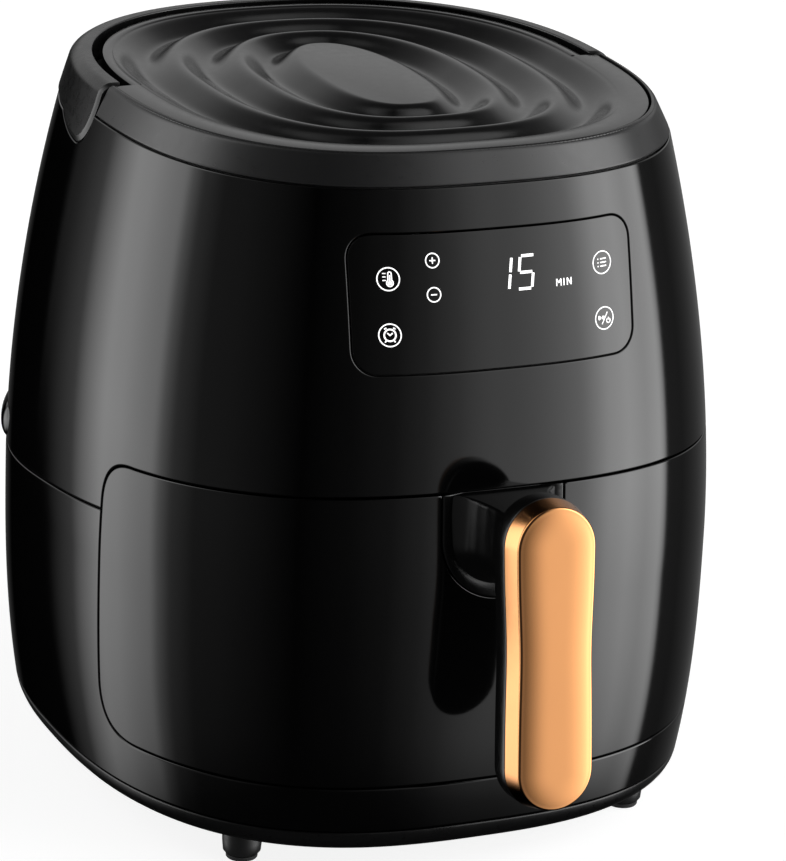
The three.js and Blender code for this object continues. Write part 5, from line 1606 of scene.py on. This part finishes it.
@dataclass
class Drawer:
    """The drawer's front, handle, tub and crisper plate."""

    shop: Workshop
    plan: SeamPlan
    face_y: float = -233.0
    pivot_z: float = 125.0
    tilt: float = 5.9               # degrees; the grip's lower end stands further out
    high: float = 64.4
    low: float = -67.6
    top_half: float = 18.5
    waist_half: float = 17.3
    bottom_half: float = 17.9
    cover_depth: float = 14.0
    shell_depth: float = 8.5
    face_margin: float = 0.9        # from the cover's rounded edge out to its outline
    lip: float = 3.2                # how far the black shell comes forward round the cover
    face_crown: float = 0.8
    face_radius: float = 1.2
    flare: float = 0.85             # how much the cover's sides widen to the back
    mount_thickness: float = 4.6
    bowl_depth: float = 2.6
    bowl_ease: float = 9.0
    neck_top: float = 178.0
    tub: tuple[float, float, float, float, float] = (112.0, -146.0, 78.0, 55.0, 165.0)
    tub_wall: float = 1.6
    tub_corner: float = 44.0
    tub_rim: float = 4.0
    plate_gap: float = 4.6
    plate_z: float = 67.0
    plate_thickness: float = 1.6
    hole_radius: float = 8.0
    hole_reach: float = 72.0        # from the plate's middle to its outermost holes
    holes_a_side: int = 4

    def front(self) -> bpy.types.Object:
        """The drawer's glossy front, notched for the handle mount."""
        plan, grow = self.plan, -HALF_SEAM
        notch = plan.notch(HALF_SEAM)
        middle = plan.mount_centre_z - plan.mount_half - HALF_SEAM
        across, bend = plan.drawer_top(grow, plan.mount_half + HALF_SEAM)
        across = np.vstack([[notch[-1]], across[1:]])
        low_bend, low_line = plan.drawer_bottom(grow)
        edge = plan.rear_edge(grow, bend[-1, 1], low_bend[0, 1])
        outer = chain(low_line[::-1], low_bend[::-1], edge[::-1], bend[::-1], across[::-1], notch[::-1])
        outer[-1] = (0.0, middle)
        skin = Skin.plain(self.shop.form, self.shop.girth)
        return Sheet(self.shop.maker, skin, [outer], WALL, Edge(0.75, 0.75)).build("drawer_face")

    def bowl(self, x: Points, z: Points) -> Points:
        """How deep the mount is dished, towards the neck's root."""
        reach = np.hypot(x, np.minimum(z - self.plan.mount_centre_z, 0))
        ease = np.clip((self.plan.mount_half - 1.5 - reach) / self.bowl_ease, 0, 1)
        return self.bowl_depth * ease * ease * (3 - 2 * ease)

    def mount(self) -> bpy.types.Object:
        """The U-shaped mount, dished round the neck's root."""
        notch = self.plan.notch(0.0)
        across = self.plan.drawer_top(-HALF_SEAM)[0]
        across = across[across[:, 0] < notch[-1, 0]]
        rim = chain(notch, np.vstack([[notch[-1]], across[::-1]]), spacing=1.2)
        skin = Skin.plain(self.shop.form, self.shop.girth, 0.0, self.bowl)
        sheet = Sheet(self.shop.maker, skin, [rim], self.mount_thickness, Edge(0.6, 0.6), 1.6)
        return sheet.build("mount_bowl")

    def outline(self, grow: float, steps: int = 16) -> Points:
        """The grip's waisted outline in (x, z) about its pivot."""
        top, waist, bottom = self.top_half + grow, self.waist_half + grow, self.bottom_half + grow
        high, low = self.high + grow, self.low - grow
        runs = [bezier((waist, 0), (waist, 14), (top, 26), (top, high - top), steps=steps),
                arc((0, high - top), top, 0, 180, 3 * steps),
                bezier((-top, high - top), (-top, 26), (-waist, 14), (-waist, 0), steps=steps),
                bezier((-waist, 0), (-waist, -12), (-bottom, -22), (-bottom, low + bottom), steps=steps),
                arc((0, low + bottom), bottom, 180, 360, 3 * steps),
                bezier((bottom, low + bottom), (bottom, -22), (waist, -12), (waist, 0), steps=steps)]
        return np.vstack([run[:-1] for run in runs])

    def tilted(self, points: Points) -> Points:
        """Tilts grip points, drawn about the pivot with depth along y, into place."""
        turn = math.radians(-self.tilt)
        x, y, z = points.T
        return np.column_stack([x, y * math.cos(turn) - z * math.sin(turn) + self.face_y,
                                y * math.sin(turn) + z * math.cos(turn) + self.pivot_z])

    def slab(self, name: str, rows: Sequence[tuple[float, float]], sharp: float = 30) -> bpy.types.Object:
        """A slab of the grip from rows of (grow, depth)."""
        rings = []
        for grow, depth in rows:
            flat = self.outline(grow)
            rings.append(self.tilted(np.column_stack([flat[:, 0], np.full(len(flat), depth), flat[:, 1]])))
        return face_outwards(self.shop.maker.loft(name, np.array(rings), sharp=sharp))

    def cover(self) -> bpy.types.Object:
        """The copper cover: a slightly crowned face with a crisp edge, and sides that widen to the back."""
        crown, radius, flare, margin = self.face_crown, self.face_radius, self.flare, self.face_margin
        deep = self.cover_depth - self.lip
        rows = []
        for share in np.linspace(0.05, 1, 12):
            rows.append((-margin - radius - (1 - share) * 13.0, crown * share**3))
        for turn in np.linspace(0.12, 1, 9) * math.pi / 2:
            rows.append((-margin - radius * (1 - math.sin(turn)), crown + radius * (1 - math.cos(turn))))
        start = crown + radius
        for share in (0.05, 0.35, 0.7, 1.0):
            rows.append((flare * share - margin * (1 - share), start + (deep - 0.3 - start) * share))
        rows += [(flare - 0.15, deep - 0.08), (flare - 0.4, deep)]
        return self.slab("copper_cover", rows)

    def shell(self) -> bpy.types.Object:
        """The black back of the grip."""
        near = self.cover_depth + 0.3 - self.lip
        far = near + self.shell_depth + self.lip
        rows = [(0.5, near), (0.85, near + 0.12), (1.0, near + 0.5), (1.0, far - 3.2)]
        for turn in np.linspace(0.2, 1, 7) * 1.57:
            rows.append((1.0 - 2.4 * (1 - math.cos(turn)), far - 3.2 + 3.2 * math.sin(turn)))
        return self.slab("grip_back", rows)

    def neck(self) -> bpy.types.Object:
        """The neck between the mount and the grip, U-shaped in section with a flat top."""
        root = float(self.shop.form.point(self.shop.form.turn_at_x(np.array([0.0]), np.array([157.0])),
                                          np.array([157.0]))[0, 1])
        tip = self.face_y + self.cover_depth + 8.3
        stations = [(root + 1.9, 23.6, 135.2), (root - 0.3, 21.4, 137.4), (root - 3.0, 19.2, 139.6),
                    (root - 8.0, 16.9, 141.9), (root - 14.0, 14.9, 143.3), (root - 20.0, 13.6, 144.4),
                    (tip + 5.0, 13.1, 145.2), (tip, 13.0, 145.5)]
        knots = np.array(stations)
        depths = np.linspace(knots[0, 0], knots[-1, 0], 28)
        half = np.interp(-depths, -knots[:, 0], knots[:, 1])
        low = np.interp(-depths, -knots[:, 0], knots[:, 2])
        rings = []
        for y, width, base in zip(depths, half, low):
            limit = float(self.plan.top_line_at(np.array([y]), -HALF_SEAM)[0])
            top = min(self.neck_top, limit)
            lower = arc((0, base + width * 0.92), width * 0.92, 180, 360, 32)
            lower[:, 0] /= 0.92
            right = arc((width - 1.8, top - 1.8), 1.8, 0, 90, 6)
            left = arc((-width + 1.8, top - 1.8), 1.8, 90, 180, 6)
            flat = np.vstack([lower, right, left])
            rings.append(np.column_stack([flat[:, 0], np.full(len(flat), y), flat[:, 1]]))
        return face_outwards(self.shop.maker.loft("neck_bar", np.array(rings), sharp=50))

    def rounded_ring(self, inset: float, z: float, steps: int = 14) -> Points:
        """A rounded rectangle of the tub, drawn in by inset."""
        half, front, rear, _, _ = self.tub
        corner = max(self.tub_corner - inset, 3.0)
        x1, y0, y1 = half - inset - corner, front + inset + corner, rear - inset - corner
        runs = [arc((x1, y0), corner, -90, 0, steps), arc((x1, y1), corner, 0, 90, steps),
                arc((-x1, y1), corner, 90, 180, steps), arc((-x1, y0), corner, 180, 270, steps)]
        flat = np.vstack(runs)
        return np.column_stack([flat, np.full(len(flat), z)])

    def tub_pan(self) -> bpy.types.Object:
        """The deep-drawn tub with a rolled rim."""
        _, _, _, bottom, top = self.tub
        wall, rim = self.tub_wall, self.tub_rim
        sweep = np.linspace(0, math.pi / 2, 9)
        outer = [(9 * (1 - math.sin(t)), bottom + 9 * (1 - math.cos(t))) for t in sweep]
        inner = [(wall + 7.6 * (1 - math.sin(t)), bottom + wall + 7.4 * (1 - math.cos(t))) for t in sweep]
        rolled = [(-rim, top - wall + 0.5), (-rim, top - 0.5), (-rim + 0.4, top - 0.12), (-rim + 1.0, top)]
        profile = (outer + [(0.0, top - wall - 2.2), (-0.5, top - wall - 0.6), (-2.0, top - wall),
                            (-rim + 0.5, top - wall)] + rolled
                   + [(0.2, top), (1.1, top - 0.5), (wall, top - 2.0)] + inner[::-1])
        rings = np.array([self.rounded_ring(inset, z) for inset, z in profile])
        return face_outwards(self.shop.maker.loft("tub_pan", rings))

    def plate(self) -> bpy.types.Object:
        """The perforated crisper plate with its feet."""
        inset = self.tub_wall + self.plate_gap
        _, front, rear, _, _ = self.tub
        top = self.plate_z + self.plate_thickness
        outline = self.rounded_ring(inset, 0.0)[:, :2]
        loops = [resample(np.vstack([outline, outline[:1]]), 3.0)[:-1]]
        middle, reach = (front + rear) / 2, self.hole_reach
        for x in np.linspace(-reach, reach, self.holes_a_side):
            for y in np.linspace(middle - reach, middle + reach, self.holes_a_side):
                loops.append(arc((x, y), self.hole_radius, 360, 0, 32)[:-1])
        sheet = Sheet(self.shop.maker, FlatTop(top), loops, self.plate_thickness, Edge(0.4, 0.4), 6.0,
                      mirrored=False)
        return sheet.build("crisper_sheet")

    def plate_feet(self) -> list[bpy.types.Object]:
        """The plate's short feet."""
        half = self.tub[0] - self.tub_wall - self.plate_gap - 10
        front, rear = self.tub[1] + 6.2 + 50, self.tub[2] - 6.2 - 50
        floor = self.tub[3] + self.tub_wall + 0.3
        profile = [(0, floor), (2.4, floor), (2.8, floor + 0.4), (2.9, floor + 4), (2.9, self.plate_z + 0.6),
                   (0, self.plate_z + 0.6)]
        return [turned(self.shop.maker, "foot", profile, (side * half, y))
                for side in (-1, 1) for y in (front, rear)]

    def build(self) -> None:
        """Builds and fits every piece."""
        fit, soft = self.shop.fit, self.shop.softened
        fit(self.front(), GLOSS_SHELL, Body.DRAWER, "drawer_front")
        fit(self.mount(), HANDLE_BLACK, Body.DRAWER, "handle_mount")
        fit(self.cover(), COPPER, Body.DRAWER, "grip_cover")
        fit(self.shell(), HANDLE_BLACK, Body.DRAWER, "grip_shell")
        fit(self.neck(), HANDLE_BLACK, Body.DRAWER)
        fit(self.tub_pan(), NONSTICK, Body.DRAWER, "drawer_tub")
        plate = merge_pieces("crisper_tray", [self.plate(), *self.plate_feet()])
        fit(plate, NONSTICK, Body.CRISPER, "crisper_plate")
        for place in ("front_left", "front_right", "rear_left", "rear_right"):
            soft(f"plate_bumper_{place}", SILICONE, Body.CRISPER)
        soft("drawer_back_panel", MATTE_INNER, Body.DRAWER)
        soft("drawer_top_cap", MATTE_INNER, Body.DRAWER, 0.3)
        soft("tub_bracket", PLAIN_STEEL, Body.DRAWER, 0.3)
        for side in ("left", "right"):
            soft(f"handle_screw_{side}", PLAIN_STEEL, Body.DRAWER, 0.2)


# ---------------------------------------------------------------- inside


@dataclass
class Interior:
    """The cooking chamber, heater, fans and electrical pieces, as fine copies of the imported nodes."""

    shop: Workshop

    def build(self) -> None:
        """Builds and fits every piece."""
        dressed: dict[Body, dict[Finish, tuple[str, ...]]] = {
            Body.HOUSING: {
                DUCT_SHEET: ("exhaust_duct", "chamber_liner", "ceiling_plate", "heater_hood"),
                MATTE_INNER: ("front_frame", "drawer_switch"),
                PLAIN_STEEL: ("rail_left", "rail_right", "element_guard", "temperature_probe",
                              "thermal_cutout", "motor_bracket", "fan_motor"),
                ELEMENT_SHEATH: ("heating_element",),
                BOARD_GREEN: ("power_board",),
            },
            Body.ROTOR: {PLAIN_STEEL: ("fan_shaft", "fan_nut"), FAN_SHEET: ("hot_air_fan", "cooling_fan")},
            Body.PLUNGER: {MATTE_INNER: ("switch_plunger",)},
        }
        smooth = ("heating_element", "fan_shaft", "temperature_probe")
        for body, finishes in dressed.items():
            for finish, names in finishes.items():
                for node in names:
                    self.shop.softened(node, finish, body, 0.0 if node in smooth else 0.25)


# ---------------------------------------------------------------- studio


@dataclass
class Studio:
    """Camera, surrounding light and floor."""

    maker: Maker
    turn: float = -24.04            # degrees, of the view round the vertical
    rise: float = 18.93
    roll: float = 2.45
    distance: float = 2000.0
    focal: float = 183.4
    side_shift: float = 23.18
    height: float = 147.70
    azimuths: tuple[tuple[float, float], ...] = (
        (-180, 0.0), (-158, 0.0), (-149, 0.12), (-142, 0.6), (-136, 1.05), (-128, 1.15), (-112, 0.98),
        (-108, 0.5), (-102, 0.18), (-90, 0.07), (-75, 0.06), (-55, 0.03), (-38, 0.0), (-15, 0.02), (0, 0.05),
        (10, 0.12), (18, 0.25),
        (30, 0.65), (40, 1.0), (50, 1.9), (60, 2.1), (70, 1.6), (80, 1.6), (83, 1.1), (86, 0.05), (100, 0.03),
        (150, 0.08), (170, 0.02), (180, 0.0))
    elevations: tuple[tuple[float, float], ...] = (
        (-90, 0), (-44, 0.0), (-38, 0.1), (-30, 0.5), (-22, 0.75), (-12, 1.0), (35, 1.0), (55, 0.35),
        (75, 0.12), (90, 0.1))
    gain: float = 3.1
    backdrop_spread: tuple[tuple[float, float], ...] = ((0, 0.0), (88, 0.0), (100, 1.0), (180, 1.0))
    backdrop_levels: tuple[tuple[float, float], ...] = (
        (-90, 0), (2, 0.0), (10, 1.0), (26, 1.0), (36, 0.4), (52, 0.12), (90, 0.05))
    backdrop: float = 0.72
    floor_half: float = 3000.0
    floor_z: float = -0.02          # just under the pads, so that nothing shares its plane
    floor_glow: float = 0.87

    def camera(self) -> bpy.types.Object:
        """The camera."""
        turn, rise, roll = (math.radians(v) for v in (self.turn, self.rise, self.roll))
        back = Vector((math.sin(turn) * math.cos(rise), -math.cos(turn) * math.cos(rise), math.sin(rise)))
        right = Vector((math.cos(turn), math.sin(turn), 0))
        up = back.cross(right)
        aside = right * math.cos(roll) + up * math.sin(roll)
        above = up * math.cos(roll) - right * math.sin(roll)
        target = right * self.side_shift + Vector((0, 0, self.height))
        place = self.maker.metres(np.array([target + back * self.distance]))[0]
        data = bpy.data.cameras.new("camera")
        data.lens, data.sensor_width, data.clip_end = self.focal, 36.0, 20.0
        camera = bpy.data.objects.new("camera", data)
        frame = Matrix((aside, above, back)).transposed().to_4x4()
        frame.translation = Vector(place)
        camera.matrix_world = frame
        bpy.context.scene.collection.objects.link(camera)
        bpy.context.scene.camera = camera
        return camera

    def ramp(self, tree: bpy.types.NodeTree, source: bpy.types.NodeSocket,
             stops: Sequence[tuple[float, float]], span: tuple[float, float]) -> bpy.types.NodeSocket:
        """A value that runs through stops of (position, share) across a span of angles.

        Args:
            tree: The node tree.
            source: The angle's socket.
            stops: Positions in degrees with their values, at most 32.
            span: The angles at the ramp's two ends.

        Returns:
            The value's socket.
        """
        fit = tree.nodes.new("ShaderNodeMapRange")
        for socket, number in (("From Min", span[0]), ("From Max", span[1]), ("To Min", 0), ("To Max", 1)):
            fit.inputs[socket].default_value = number
        tree.links.new(source, fit.inputs["Value"])
        node = tree.nodes.new("ShaderNodeValToRGB")
        node.color_ramp.interpolation = "LINEAR"
        elements = node.color_ramp.elements
        most = max(value for _, value in stops) or 1.0
        while len(elements) > 1:
            elements.remove(elements[-1])
        for index, (angle, value) in enumerate(stops):
            place = (angle - span[0]) / (span[1] - span[0])
            element = elements[0] if index == 0 else elements.new(place)
            element.position = place
            element.color = (value / most,) * 3 + (1,)
        tree.links.new(fit.outputs["Result"], node.inputs["Fac"])
        return self.compute(tree, "MULTIPLY", node.outputs["Color"], most)

    @staticmethod
    def compute(tree: bpy.types.NodeTree, operation: str,
                *values: bpy.types.NodeSocket | float) -> bpy.types.NodeSocket:
        """A maths node."""
        node = tree.nodes.new("ShaderNodeMath")
        node.operation = operation
        for socket, value in zip(node.inputs, values):
            if isinstance(value, bpy.types.NodeSocket):
                tree.links.new(value, socket)
            else:
                socket.default_value = value
        return node.outputs[0]

    def surroundings(self) -> None:
        """The world: soft boxes at both sides, a pale backdrop, a dark floor side and a white view."""
        world = bpy.data.worlds.new("studio")
        world.use_nodes = True
        bpy.context.scene.world = world
        tree = world.node_tree
        tree.nodes.clear()
        place = tree.nodes.new("ShaderNodeTexCoord")
        split = tree.nodes.new("ShaderNodeSeparateXYZ")
        tree.links.new(place.outputs["Generated"], split.inputs[0])
        x, y, z = split.outputs
        degrees = 180 / math.pi
        back_y = self.compute(tree, "MULTIPLY", y, -1.0)
        azimuth = self.compute(tree, "MULTIPLY", self.compute(tree, "ARCTAN2", x, back_y), degrees)
        elevation = self.compute(tree, "MULTIPLY", self.compute(tree, "ARCSINE", z), degrees)
        around = self.ramp(tree, azimuth, self.azimuths, (-180, 180))
        upright = self.ramp(tree, elevation, self.elevations, (-90, 90))
        boxes = self.compute(tree, "MULTIPLY", self.compute(tree, "MULTIPLY", around, upright), self.gain)
        spread = self.compute(tree, "ABSOLUTE", azimuth)
        behind = self.ramp(tree, spread, self.backdrop_spread, (0, 180))
        above = self.ramp(tree, elevation, self.backdrop_levels, (-90, 90))
        pale = self.compute(tree, "MULTIPLY", self.compute(tree, "MULTIPLY", behind, above), self.backdrop)
        light = self.compute(tree, "MAXIMUM", boxes, pale)
        glow, view = tree.nodes.new("ShaderNodeBackground"), tree.nodes.new("ShaderNodeBackground")
        tree.links.new(light, glow.inputs["Strength"])
        path, mix = tree.nodes.new("ShaderNodeLightPath"), tree.nodes.new("ShaderNodeMixShader")
        tree.links.new(path.outputs["Is Camera Ray"], mix.inputs[0])
        tree.links.new(glow.outputs[0], mix.inputs[1])
        tree.links.new(view.outputs[0], mix.inputs[2])
        view.inputs["Color"].default_value = (1, 1, 1, 1)
        output = tree.nodes.new("ShaderNodeOutputWorld")
        tree.links.new(mix.outputs[0], output.inputs["Surface"])

    def floor(self) -> None:
        """A white floor that takes a soft shadow and merges with the background."""
        size, z = self.floor_half, self.floor_z
        corners = np.array([(-size, -size, z), (size, -size, z), (size, size, z), (-size, size, z)])
        floor = self.maker.mesh("floor", corners, [(0, 1, 2, 3)])
        nodes = Nodes("floor_white")
        nodes.tint(nodes.noise(3.0), (0.3,) * 3, (0.32,) * 3)
        nodes.shader.inputs["Roughness"].default_value = 0.8
        nodes.shader.inputs["Specular IOR Level"].default_value = 0.0
        nodes.shader.inputs["Emission Color"].default_value = (1, 1, 1, 1)
        nodes.shader.inputs["Emission Strength"].default_value = self.floor_glow
        floor.data.materials.append(nodes.material)
        floor.visible_glossy = False
        floor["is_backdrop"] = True

    def build(self) -> None:
        """Builds the studio."""
        bpy.context.scene.view_settings.view_transform = "Standard"
        self.camera()
        self.surroundings()
        self.floor()


def main() -> None:
    """Builds the scene."""
    logging.basicConfig(level=logging.INFO, format="%(message)s")
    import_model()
    maker = Maker()
    form = HousingForm()
    girth = Girth(form)
    shop = Workshop(maker, form, girth, Paintbox(), {piece.name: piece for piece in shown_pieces()})
    plan = SeamPlan(form, girth)
    housing = HousingShells(shop, plan)
    for assembly in (housing, TopTrims(shop, plan), ControlPanel(shop, plan, housing), Drawer(shop, plan),
                     Interior(shop), Studio(maker)):
        assembly.build()


if __name__ == "__main__":
    main()
